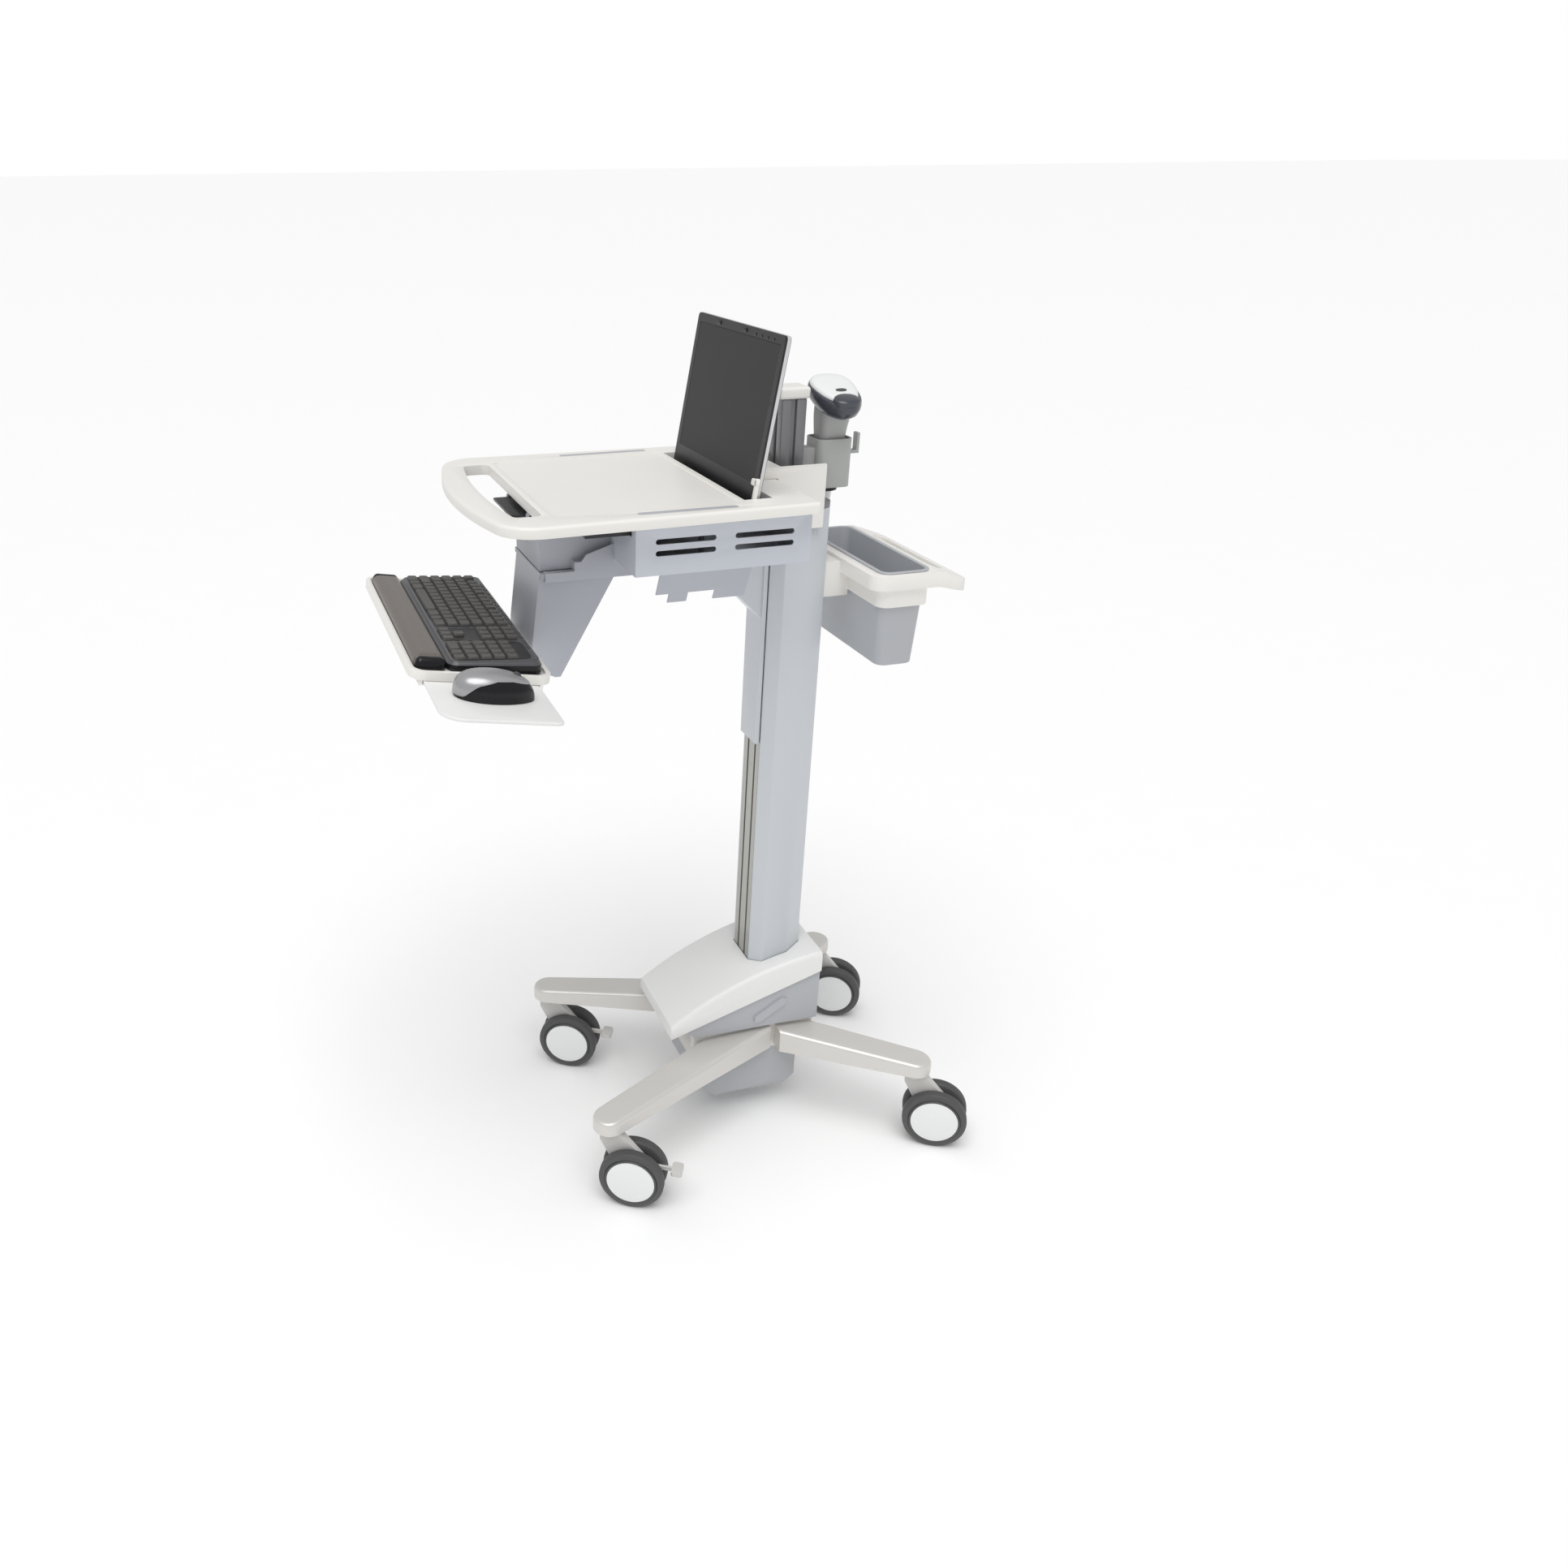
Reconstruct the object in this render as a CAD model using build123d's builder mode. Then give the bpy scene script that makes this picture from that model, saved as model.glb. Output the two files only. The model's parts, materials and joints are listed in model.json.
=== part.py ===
"""Height-adjustable medication cart with laptop bay, keyboard tray, scanner and supply bin.

Frame: +Z up, the user stands on the -Y side, the mouse shelf opens towards +X.
All lengths are millimetres. The column axis stands at (column_x, column_y) on the floor.
"""
import os
from math import cos, radians, sin

from build123d import *

os.makedirs("parts", exist_ok=True)

# ---------------------------------------------------------------- casters
wheel_diameter = 114.0
tyre_thickness = 11.0
wheel_width = 24.0
wheel_gap = 15.0
axle_diameter = 10.0
axle_clearance = 0.05
axle_cap_depth = 4.0
caster_trail = 44.0
trail_angle = 60.0
stem_diameter = 12.0
stem_height = 34.0
stem_clearance = 0.05
fork_top = 146.0
fork_collar_diameter = 30.0
fork_collar_height = 12.0
fork_hood_radius = 40.0
fork_hood_width = 13.0
fork_nose_along = 20.0
fork_nose_height = 34.0
fork_brow_height = 12.0
fork_chin_along = 24.0
tread_gap = 0.5
front_stem_x = 203.0
front_stem_y = -358.0
rear_stem_x = 210.0
rear_stem_y = 220.0
pedal_pin_along = 30.0
pedal_pin_height = wheel_diameter / 2 + 19.5
pedal_pin_diameter = 5.0
pedal_pin_clearance = 0.05
pedal_blade = 5.0
pedal_blade_height = 7.0
pedal_slot_clearance = 0.6
pedal_slot_length = 28.0
pedal_pad_start = 66.5
pedal_pad_length = 19.0
pedal_pad_width = 30.0

# ---------------------------------------------------------------- base
leg_clearance = 1.0
leg_tip_top = 173.0
leg_tip_width = 56.0
leg_root_width = 68.0
leg_seat_length = 32.0
leg_front_root_y = -66.0
leg_rear_root_y = 24.0
leg_front_end_y = -8.0
leg_rear_start_y = 4.0
stem_seat_depth = 18.0
leg_root_bottom = 150.0
leg_root_top = 193.0
leg_edge_radius = 8.0
hub_half_width = 72.0
hub_front_y = -158.0
hub_rear_y = 84.0
hub_bottom = 144.0
hub_top = 202.0
hub_corner_radius = 12.0
tub_wall = 3.0
tub_half_width = 68.0
tub_bottom = 46.0
tub_front_y = -146.0
tub_rear_y = 52.0
tub_front_bevel = 40.0
tub_rear_bevel = 22.0
ballast_half_width = 54.0
ballast_front_y = -112.0
ballast_rear_y = 22.0
ballast_height = 70.0
hood_half_width = 88.0
hood_wall = 3.0
hood_front_y = -205.0
hood_rear_y = 82.0
hood_lip_bottom = 212.0
hood_lip_top = 236.0
hood_top = 346.0
hood_crease_rear = 306.0
hood_edge_radius = 9.0
hood_bow_height = 57.0
skirt_front_y = -176.8
hood_column_gap = 1.0
skirt_inset = 5.0
grip_length = 70.0
grip_width = 15.0
grip_depth = 4.5
grip_centre_y = -14.0
grip_centre_z = 237.0
grip_slope = 33.0

# ---------------------------------------------------------------- column
column_half_width = 55.0
column_front_half = 35.0
column_front_y = -40.0
column_side_front_y = -23.0
column_side_rear_y = 24.0
column_rear_y = 57.0
column_wall = 4.0
column_top = 1150.0
column_cap_height = 12.0
rail_half_width = 31.0
rail_depth = 12.0
slot_spacing = 28.0
slot_width = 6.0
slot_depth = 9.0

# ---------------------------------------------------------------- accessory tower
tower_half_width = 21.0
tower_front_y = -29.0
tower_rear_y = 12.0
tower_top = column_top + 168.0
tower_slot_width = 8.0
tower_slot_depth = 6.0
tower_cap_height = 18.0
tower_cap_overhang = 5.0

# ---------------------------------------------------------------- lift carriage and head
# Heights on the column are given over its top, so that a taller column lifts all that it carries.
cover_gap = 1.0
cover_thickness = 8.0
cover_bottom = column_top - 400.0
cover_half_width = 32.0
key_side_clearance = 0.8
key_end_clearance = 1.0
bay_half_width = 190.0
bay_front_y = -319.0
bay_bottom = column_top - 38.0
bay_wall = 3.0
worktop_top = column_top + 58.0
worktop_thickness = 16.0
worktop_rear_half = 222.0
worktop_front_half = 240.0
worktop_front_y = -545.0
worktop_corner_y = -508.0
worktop_corner_radius = 58.0
worktop_rear_radius = 8.0
worktop_edge_radius = 5.0
work_recess_half = 188.0
work_recess_front_y = -438.0
work_recess_rear_y = -160.0
work_recess_depth = 1.2
work_recess_corner = 14.0
handle_slot_half = 176.0
handle_slot_rear_y = -450.0
handle_slot_depth = 40.0
handle_slot_bow = 14.0
handle_slot_corner = 12.0
lid_slot_half = 174.0
lid_slot_front_y = -150.0
lid_slot_rear_y = -106.0
inlay_x = 205.0
inlay_width = 13.0
inlay_length = 150.0
inlay_centre_y = -247.0
inlay_thickness = 1.5
shroud_wall = 6.0
shroud_gap = 4.0
shroud_rear_y = 32.0
shroud_bottom = column_top - 24.0
shroud_top = column_top + 76.0
shroud_front_y = -78.0
gusset_half_width = 27.0
gusset_wall = 3.0
gusset_front_y = -88.0
gusset_bottom = column_top - 177.0
gusset_knee = column_top - 138.0
vent_length = 92.0
vent_height = 8.0
vent_front_centre_y = -243.0
vent_rear_centre_y = -122.0
vent_upper_z = column_top + 11.0
vent_lower_z = column_top - 6.0
wing_top_x = 152.0
wing_bottom_x = 120.0
wing_bottom = column_top - 104.0
wing_thickness = 3.0
wing_front_y = -266.0
wing_rear_y = -120.0
wing_notch_width = 42.0
wing_notch_height = 16.0

# ---------------------------------------------------------------- keyboard slide housing, arm and tray
housing_half_width = 88.0
nose_half_width = 72.0
nose_top = column_top + 16.0
cheek_front_y = -380.0
cheek_knee_y = -362.0
cheek_knee_z = column_top - 28.0
cheek_rear_z = column_top - 14.0
housing_front_y = -430.0
housing_rear_y = -140.0
housing_bottom = column_top - 52.0
housing_wall = 3.0
housing_roof = 3.0
housing_recess_half = 68.0
runner_width = 13.0
runner_height = 14.0
runner_lip = 2.3
runner_groove_depth = 9.0
runner_clearance = 0.7
runner_front_y = -425.0
arm_half_width = 72.0
arm_sheet = 3.0
arm_rear_y = -305.0
arm_tip_y = -399.0
arm_tip_z = column_top - 223.0
arm_foot_y = -443.0
arm_foot_z = column_top - 165.0
pivot_y = -458.0
pivot_z = column_top - 184.0
pivot_pin_diameter = 9.0
pivot_clearance = 0.05
pivot_barrel_diameter = 18.0
pivot_barrel_half = 60.0
tray_tilt = 9.5
tray_rear_y = -452.0
tray_rear_z = column_top - 165.0
tray_depth = 206.0
tray_front_half = 236.0
tray_rear_half = 230.0
tray_thickness = 8.0
tray_lip_width = 7.0
tray_lip_height = 5.0
tray_corner_radius = 24.0
guide_start_x = 92.0
guide_width = 5.0
guide_lip = 6.0
guide_lip_thickness = 2.4
mouse_shelf_thickness = 5.0
mouse_shelf_gap = 0.8
mouse_shelf_inner_x = 100.0
mouse_shelf_outer_x = 372.0
mouse_shelf_side_gap = 0.6
mouse_shelf_inset = 14.0
mouse_shelf_corner = 34.0
mouse_shelf_rear_corner = 11.0
edge_length_tolerance = 0.5
palm_depth = 46.0
palm_height = 19.0
palm_half_width = 217.0
palm_radius = 8.0
palm_edge_radius = 6.4
keyboard_half_width = 217.0
keyboard_depth = 138.0
keyboard_front_height = 14.0
keyboard_rear_height = 25.0
keyboard_gap = 1.0
tray_part_gap = 1.0
key_pitch = 19.05
key_size = 16.2
key_height = 4.0
key_rows = 6
main_key_columns = 14
cluster_key_columns = 3
numpad_key_columns = 4
cluster_gap = 8.0
key_field_front_margin = 9.0
mouse_length = 116.0
mouse_width = 66.0
mouse_height = 38.0
mouse_x = 283.0
mouse_from_rear = 98.0
mouse_top_radius = 15.0

# ---------------------------------------------------------------- release lever
lever_half_width = 58.0
lever_pin_diameter = 8.0
lever_pin_clearance = 0.05
lever_pin_y = -438.0
lever_pin_z = column_top + 30.0
lever_reach = 30.0
lever_thickness = 4.0
lug_width = 8.0
lug_gap = 0.5
lug_radius = 8.0
lug_root_drop = 24.0

# ---------------------------------------------------------------- laptop
laptop_half_width = 168.0
laptop_base_half_width = 165.0
laptop_base_depth = 240.0
laptop_base_height = 22.0
laptop_base_bottom = column_top + 17.0
laptop_base_setback = 9.0
laptop_hinge_y = -137.0
laptop_hinge_z = column_top + 30.0
laptop_pin_diameter = 6.0
laptop_pin_clearance = 0.05
laptop_ear_wall = 1.0
bay_door_gap = 0.5
laptop_lean = 9.2
lid_height = 254.0
lid_thickness = 9.0
lid_start = 8.0
lid_corner_radius = 7.0
lid_ear_centre = 126.0
lid_ear_width = 14.0
lid_ear_gap = 0.5
lid_knuckle_width = 6.0
laptop_post_size = 24.0
laptop_post_x = 130.0
laptop_post_front_y = -295.0
laptop_post_rear_y = -185.0
bay_door_half = 171.0
screen_margin = 13.0
screen_bottom_margin = 34.0
screen_thickness = 1.2

# ---------------------------------------------------------------- scanner and its holder
scanner_y = 64.0
cup_bottom = column_top + 28.0
cup_height = 76.0
cup_half_x = 27.0
cup_half_y = 30.0
cup_wall = 3.0
cup_floor = 4.0
cup_corner = 12.0
grip_clearance = 1.0
grip_top = column_top + 152.0
scanner_head_setback = 11.0
scanner_head_length = 112.0
scanner_head_width = 72.0
scanner_head_height = 36.0
scanner_head_tilt = 18.0
scanner_head_turn = 90.0
scanner_head_z = column_top + 166.0
scanner_head_radius = 14.0
trigger_width = 16.0
trigger_height = 18.0
trigger_depth = 9.0
trigger_proud = 4.0
trigger_clearance = 0.4
trigger_seat_gap = 0.5
trigger_z = column_top + 117.0
trigger_stroke = 3.0
holder_arm_half = 14.0
holder_arm_bottom = column_top + 40.0
holder_arm_top = column_top + 90.0
hook_half_width = 7.0
hook_reach = 20.0
hook_bottom = column_top + 76.0
hook_top = column_top + 108.0
hook_thickness = 5.0

# ---------------------------------------------------------------- supply bin
bin_half_width = 140.0
bin_front_y = 104.0
bin_rear_y = 184.0
bin_top = column_top - 86.0
bin_bottom = column_top - 241.0
bin_wall = 2.5
bin_draft = 8.0
bin_corner = 16.0
bin_lip = 4.0
bin_lip_thickness = 3.0
bin_gap = 1.0
frame_half_width = 152.0
frame_front_y = 84.0
frame_rear_y = 252.0
frame_height = 24.0
frame_rear_drop = 20.0
frame_slope_drop = 28.0
frame_rear_height = 16.8
frame_handle_slot_half = 104.0
frame_handle_slot_front = 204.0
frame_handle_slot_rear = 232.0
frame_slope_start = 196.0
frame_corner = 26.0
frame_apron = 30.0
frame_apron_wall = 3.0
bracket_half_width = 32.0
bracket_bottom = column_top - 150.0
bracket_top = column_top - 92.0

# ---------------------------------------------------------------- where the column axis stands
tread_round = tyre_thickness / 3
tread_outer = wheel_gap / 2 + wheel_width - axle_cap_depth
trail_cos = cos(radians(trail_angle))
trail_sin = sin(radians(trail_angle))
left_reach = (
    rear_stem_x
    - caster_trail * trail_cos
    + tread_round
    + (wheel_diameter / 2 - tread_round) * trail_cos
    + (tread_outer - tread_round) * trail_sin
)
right_reach = mouse_shelf_outer_x
column_x = (left_reach - right_reach) / 2
tray_front_reach = (
    tray_rear_y - tray_depth * cos(radians(tray_tilt)) - tray_thickness * sin(radians(tray_tilt))
)
rear_reach = (
    rear_stem_y
    + caster_trail * trail_sin
    + tread_round
    + (wheel_diameter / 2 - tread_round) * trail_sin
    + (tread_outer - tread_round) * trail_cos
)
column_y = -(tray_front_reach + rear_reach) / 2


def level(height):
    """Horizontal plane through the column axis at a height above the floor."""
    return Plane(origin=(column_x, column_y, height), x_dir=(1, 0, 0), z_dir=(0, 0, 1))


def side(offset):
    """Upright plane at a sideways offset, drawn in (depth, height)."""
    return Plane(origin=(column_x + offset, column_y, 0), x_dir=(0, 1, 0), z_dir=(1, 0, 0))


def facing(depth):
    """Upright plane across the cart at a depth, drawn in (sideways, height)."""
    return Plane(origin=(column_x, column_y + depth, 0), x_dir=(1, 0, 0), z_dir=(0, -1, 0))


def leaned(depth, height, lean, lift=0.0):
    """Plane hinged about a sideways line, its surface facing up and back by the lean angle."""
    base = Plane(
        origin=(column_x, column_y + depth, height),
        x_dir=(1, 0, 0),
        z_dir=(0, sin(radians(lean)), cos(radians(lean))),
    )
    return base.offset(lift)


def write(piece, label):
    """Name a finished piece and write it to its own file."""
    piece.part.label = label
    export_step(piece.part, f"parts/{label}.step")


# ================================================================ casters
trail_dir = (cos(radians(trail_angle)), sin(radians(trail_angle)), 0)
axle_dir = (sin(radians(trail_angle)), -cos(radians(trail_angle)), 0)
stems = {
    "front_right": (front_stem_x, front_stem_y),
    "front_left": (-front_stem_x, front_stem_y),
    "rear_right": (rear_stem_x, rear_stem_y),
    "rear_left": (-rear_stem_x, rear_stem_y),
}
wheel_radius = wheel_diameter / 2
rim_radius = wheel_radius - tyre_thickness
leg_tip_bottom = fork_top + leg_clearance


def stem_plane(corner, height):
    """Horizontal plane at a caster stem, its x axis along the trail."""
    x, y = stems[corner]
    return Plane(origin=(column_x + x, column_y + y, height), x_dir=trail_dir, z_dir=(0, 0, 1))


def axle_plane(corner, along=0.0, shift=0.0):
    """Plane square to the axle through its middle, drawn in (along the trail, up)."""
    x, y = stems[corner]
    middle = Vector(column_x + x, column_y + y, 0) + Vector(*trail_dir) * along
    middle = middle + Vector(*axle_dir) * shift
    return Plane(origin=middle, x_dir=trail_dir, z_dir=axle_dir)


def build_fork(corner, braked):
    """Moulded swivel housing with its two axle spigots, slotted for a brake pedal."""
    with BuildPart() as fork:
        with BuildSketch(axle_plane(corner, 0.0, -fork_hood_width / 2)) as web:
            with BuildLine():
                Polyline(
                    (-fork_collar_diameter / 2, fork_top),
                    (fork_collar_diameter / 2, fork_top),
                    (caster_trail + fork_nose_along, wheel_radius + fork_nose_height),
                    (caster_trail + fork_hood_radius, wheel_radius + fork_brow_height),
                    (caster_trail + fork_chin_along, wheel_radius - axle_diameter),
                    (caster_trail - fork_nose_along, wheel_radius - axle_diameter),
                    (-fork_collar_diameter / 2, fork_top - fork_collar_height * 2),
                    close=True,
                )
            make_face()
        extrude(amount=fork_hood_width)
        with BuildSketch(stem_plane(corner, fork_top - fork_collar_height)):
            Circle(fork_collar_diameter / 2)
        extrude(amount=fork_collar_height)
        with BuildSketch(axle_plane(corner, 0.0, 0.0)):
            with Locations((caster_trail, wheel_radius)):
                Circle(axle_diameter / 2)
        extrude(amount=tread_outer, both=True)
        with BuildSketch(stem_plane(corner, fork_top)):
            Circle(stem_diameter / 2 + stem_clearance)
        extrude(amount=-stem_height, mode=Mode.SUBTRACT)
        if braked:
            with BuildSketch(axle_plane(corner, caster_trail, 0.0)):
                with Locations((pedal_pin_along, pedal_pin_height)):
                    Circle(pedal_pin_diameter / 2 + pedal_pin_clearance)
            extrude(amount=fork_hood_width, both=True, mode=Mode.SUBTRACT)
            with BuildSketch(axle_plane(corner, caster_trail, 0.0)):
                with Locations((pedal_pin_along + pedal_blade_height, pedal_pin_height)):
                    Rectangle(pedal_slot_length, pedal_slot_length)
            extrude(amount=pedal_blade / 2 + pedal_slot_clearance, both=True, mode=Mode.SUBTRACT)
    return fork


def build_wheel(corner, hand):
    """Domed disc wheel that turns on the axle spigot."""
    inner = wheel_gap / 2
    bore = axle_diameter / 2 + axle_clearance
    with BuildPart() as wheel:
        with BuildSketch(axle_plane(corner, 0.0, hand * inner)):
            with Locations((caster_trail, wheel_radius)):
                Circle(rim_radius)
        extrude(amount=hand * wheel_width)
        outer_edges = wheel.edges().filter_by(GeomType.CIRCLE).sort_by(Axis((0, 0, 0), axle_dir))
        chamfer(outer_edges[-1] if hand > 0 else outer_edges[0], axle_cap_depth)
        with BuildSketch(axle_plane(corner, 0.0, hand * inner)):
            with Locations((caster_trail, wheel_radius)):
                Circle(bore)
        extrude(amount=hand * (wheel_width - axle_cap_depth + tread_gap), mode=Mode.SUBTRACT)
    return wheel


def build_tyre(corner, hand):
    """Solid tread bonded round the wheel."""
    inner = wheel_gap / 2
    with BuildPart() as tyre:
        with BuildSketch(axle_plane(corner, 0.0, hand * (inner + tread_gap))):
            with Locations((caster_trail, wheel_radius)):
                Circle(wheel_radius)
        extrude(amount=hand * (wheel_width - axle_cap_depth - tread_gap))
        fillet(tyre.edges().filter_by(GeomType.CIRCLE), tread_round)
        with BuildSketch(axle_plane(corner, 0.0, hand * inner)):
            with Locations((caster_trail, wheel_radius)):
                Circle(rim_radius)
        extrude(amount=hand * wheel_width, mode=Mode.SUBTRACT)
    return tyre



def build_pedal(corner):
    """Brake pedal on a pin through the fork blade."""
    with BuildPart() as pedal:
        with BuildSketch(axle_plane(corner, caster_trail, 0.0)):
            with Locations((pedal_pin_along, pedal_pin_height)):
                Circle(pedal_pin_diameter / 2)
        extrude(amount=fork_hood_width / 2, both=True)
        with BuildSketch(axle_plane(corner, caster_trail, 0.0)):
            with BuildLine():
                Polyline(
                    (pedal_pin_along - pedal_blade, pedal_pin_height - pedal_blade_height / 2),
                    (pedal_pad_start + pedal_blade, pedal_pin_height - pedal_blade_height / 2),
                    (pedal_pad_start + pedal_blade, pedal_pin_height + pedal_blade_height / 2),
                    (pedal_pin_along - pedal_blade, pedal_pin_height + pedal_blade_height / 2),
                    close=True,
                )
            make_face()
        extrude(amount=pedal_blade / 2, both=True)
        with BuildSketch(stem_plane(corner, pedal_pin_height - pedal_blade_height / 2)):
            with Locations((caster_trail + pedal_pad_start + pedal_pad_length / 2, 0)):
                RectangleRounded(pedal_pad_length, pedal_pad_width, pedal_blade)
        extrude(amount=pedal_blade_height)
    return pedal


for corner in stems:
    fork = build_fork(corner, corner.startswith("front"))
    if corner.startswith("front"):
        write(build_pedal(corner), f"brake_pedal_{corner}")
    write(fork, f"caster_fork_{corner}")
    for name, hand in (("outer", 1), ("inner", -1)):
        write(build_wheel(corner, hand), f"caster_wheel_{corner}_{name}")
        write(build_tyre(corner, hand), f"caster_tyre_{corner}_{name}")

with BuildPart() as caster_stems:
    for corner in stems:
        with BuildSketch(stem_plane(corner, fork_top - stem_height + leg_clearance)):
            Circle(stem_diameter / 2)
        extrude(amount=stem_height + stem_seat_depth)
write(caster_stems, "caster_stems")

# ================================================================ base


def build_leg(corner):
    """Cast leg, rounded at the stem and running up to the side of the hub."""
    x, y = stems[corner]
    hand = 1 if x > 0 else -1
    root_y = leg_front_root_y if y < 0 else leg_rear_root_y
    run = Vector(hand * hub_half_width - x, root_y - y, 0)
    length = run.length
    along = run.normalized()
    stem_point = Vector(column_x + x, column_y + y, 0)
    across = along.cross(Vector(0, 0, 1))
    plan = Plane(origin=stem_point + Vector(0, 0, leg_tip_bottom), x_dir=along, z_dir=(0, 0, 1))
    profile = Plane(origin=stem_point, x_dir=along, z_dir=across)
    overrun = length + hub_half_width
    rise = (leg_root_top - leg_tip_top) / length
    sink = (leg_root_bottom - leg_tip_bottom) / (length - leg_seat_length)
    with BuildPart() as leg:
        with BuildSketch(plan) as plan_shape:
            Circle(leg_tip_width / 2)
            with Locations((overrun, 0)):
                Circle(leg_root_width / 2)
            make_hull()
        extrude(amount=leg_root_top * 2)
        with BuildSketch(profile):
            with BuildLine():
                Polyline(
                    (-leg_tip_width, leg_tip_bottom),
                    (leg_seat_length, leg_tip_bottom),
                    (overrun * 2, leg_tip_bottom + sink * (overrun * 2 - leg_seat_length)),
                    (overrun * 2, leg_tip_top + rise * overrun * 2),
                    (-leg_tip_width, leg_tip_top - rise * leg_tip_width),
                    close=True,
                )
            make_face()
        extrude(amount=leg_root_width, both=True, mode=Mode.INTERSECT)
        fillet(leg.faces().sort_by(Axis.Z)[-1].edges(), leg_edge_radius)
        with BuildSketch(Plane(origin=stem_point + Vector(0, 0, leg_tip_bottom))):
            Circle(stem_diameter / 2)
        extrude(amount=stem_seat_depth, mode=Mode.SUBTRACT)
        with BuildSketch(level(0)):
            Rectangle(hub_half_width * 2, -front_stem_y * 2)
        extrude(amount=leg_root_top * 2, mode=Mode.SUBTRACT)
        with BuildSketch(level(0)):
            if y < 0:
                with Locations((0, leg_front_end_y)):
                    Rectangle(rear_stem_x * 2, -front_stem_y, align=(Align.CENTER, Align.MIN))
            else:
                with Locations((0, leg_rear_start_y)):
                    Rectangle(rear_stem_x * 2, -front_stem_y, align=(Align.CENTER, Align.MAX))
        extrude(amount=leg_root_top * 2, mode=Mode.SUBTRACT)
    return leg


for corner in stems:
    write(build_leg(corner), f"leg_{corner}")

hub_depth = hub_rear_y - hub_front_y
hub_middle_y = (hub_rear_y + hub_front_y) / 2
with BuildPart() as base_hub:
    with BuildSketch(level(hub_bottom)):
        with Locations((0, hub_middle_y)):
            RectangleRounded(hub_half_width * 2, hub_depth, hub_corner_radius)
    extrude(amount=hub_top - hub_bottom)
write(base_hub, "base_hub")


def tub_outline(inset):
    """Side outline of the lower tub, drawn in by a wall and left open at the top."""
    top = hub_bottom + (tub_wall if inset else 0)
    return [
        (tub_front_y + inset, top),
        (tub_front_y + inset, tub_bottom + tub_front_bevel),
        (tub_front_y + tub_front_bevel + inset / 2, tub_bottom + inset),
        (tub_rear_y - tub_rear_bevel - inset / 2, tub_bottom + inset),
        (tub_rear_y - inset, tub_bottom + tub_rear_bevel),
        (tub_rear_y - inset, top),
    ]


with BuildPart() as base_tub:
    with BuildSketch(side(0)):
        with BuildLine():
            Polyline(*tub_outline(0), close=True)
        make_face()
    extrude(amount=tub_half_width, both=True)
    fillet(base_tub.edges().filter_by(Axis.Y).group_by(Axis.Z)[0], hub_corner_radius)
    with BuildSketch(side(0)):
        with BuildLine():
            Polyline(*tub_outline(tub_wall), close=True)
        make_face()
    extrude(amount=tub_half_width - tub_wall * 2, both=True, mode=Mode.SUBTRACT)
write(base_tub, "base_tub")

with BuildPart() as ballast:
    with BuildSketch(level(hub_bottom)):
        with Locations((0, (ballast_front_y + ballast_rear_y) / 2)):
            Rectangle(ballast_half_width * 2, ballast_rear_y - ballast_front_y)
    extrude(amount=-ballast_height)
write(ballast, "ballast")

column_outline = [
    (-column_front_half, column_front_y),
    (column_front_half, column_front_y),
    (column_half_width, column_side_front_y),
    (column_half_width, column_side_rear_y),
    (column_front_half, column_rear_y),
    (-column_front_half, column_rear_y),
    (-column_half_width, column_side_rear_y),
    (-column_half_width, column_side_front_y),
]


crease_rise = (hood_crease_rear - hood_lip_bottom) / (hood_rear_y - hood_front_y)


def hood_corners(inset):
    """Corners of the hood's side outline, front lip first, drawn in by a wall."""
    front = (hood_front_y + inset, hood_lip_top - inset)
    rear = (hood_rear_y - inset, hood_top - inset)
    middle = ((front[0] * 2 + rear[0]) / 3, front[1] + hood_bow_height)
    low_rear = (hood_rear_y - inset, hood_crease_rear + inset)
    low_front = (hood_front_y + inset, hood_lip_bottom + inset)
    return front, middle, rear, low_rear, low_front


with BuildPart() as base_hood:
    for inset, mode in ((0, Mode.ADD), (hood_wall, Mode.SUBTRACT)):
        front, middle, rear, low_rear, low_front = hood_corners(inset)
        with BuildSketch(side(0)):
            with BuildLine():
                ThreePointArc(front, middle, rear)
                Polyline(rear, low_rear, low_front, front)
            make_face()
        extrude(amount=hood_half_width - inset, both=True, mode=mode)
        if mode == Mode.ADD:
            curved = base_hood.edges().filter_by(GeomType.CIRCLE)
            fillet(curved, hood_edge_radius)
    with BuildSketch(level(hub_top)):
        with BuildLine():
            Polyline(*column_outline, close=True)
        make_face()
        offset(amount=hood_column_gap, kind=Kind.INTERSECTION)
    extrude(amount=hood_top, mode=Mode.SUBTRACT)
write(base_hood, "base_hood")


def skirt_outline(inset):
    """Side outline of the body under the hood."""
    front = skirt_front_y
    return [
        (hub_front_y + inset, hub_top + inset),
        (front + inset, hood_lip_bottom + (front - hood_front_y) * crease_rise - inset),
        (hood_rear_y - inset, hood_crease_rear - inset),
        (hood_rear_y - inset, hub_top + inset),
    ]


with BuildPart() as base_skirt:
    with BuildSketch(side(0)):
        with BuildLine():
            Polyline(*skirt_outline(0), close=True)
        make_face()
    extrude(amount=hood_half_width - skirt_inset, both=True)
    with BuildSketch(side(0)):
        with BuildLine():
            Polyline(*skirt_outline(hood_wall), close=True)
        make_face()
    extrude(amount=hood_half_width - skirt_inset - hood_wall, both=True, mode=Mode.SUBTRACT)
    with BuildSketch(level(hub_top)):
        with BuildLine():
            Polyline(*column_outline, close=True)
        make_face()
        offset(amount=hood_column_gap, kind=Kind.INTERSECTION)
    extrude(amount=hood_top, mode=Mode.SUBTRACT)
write(base_skirt, "base_skirt")

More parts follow.
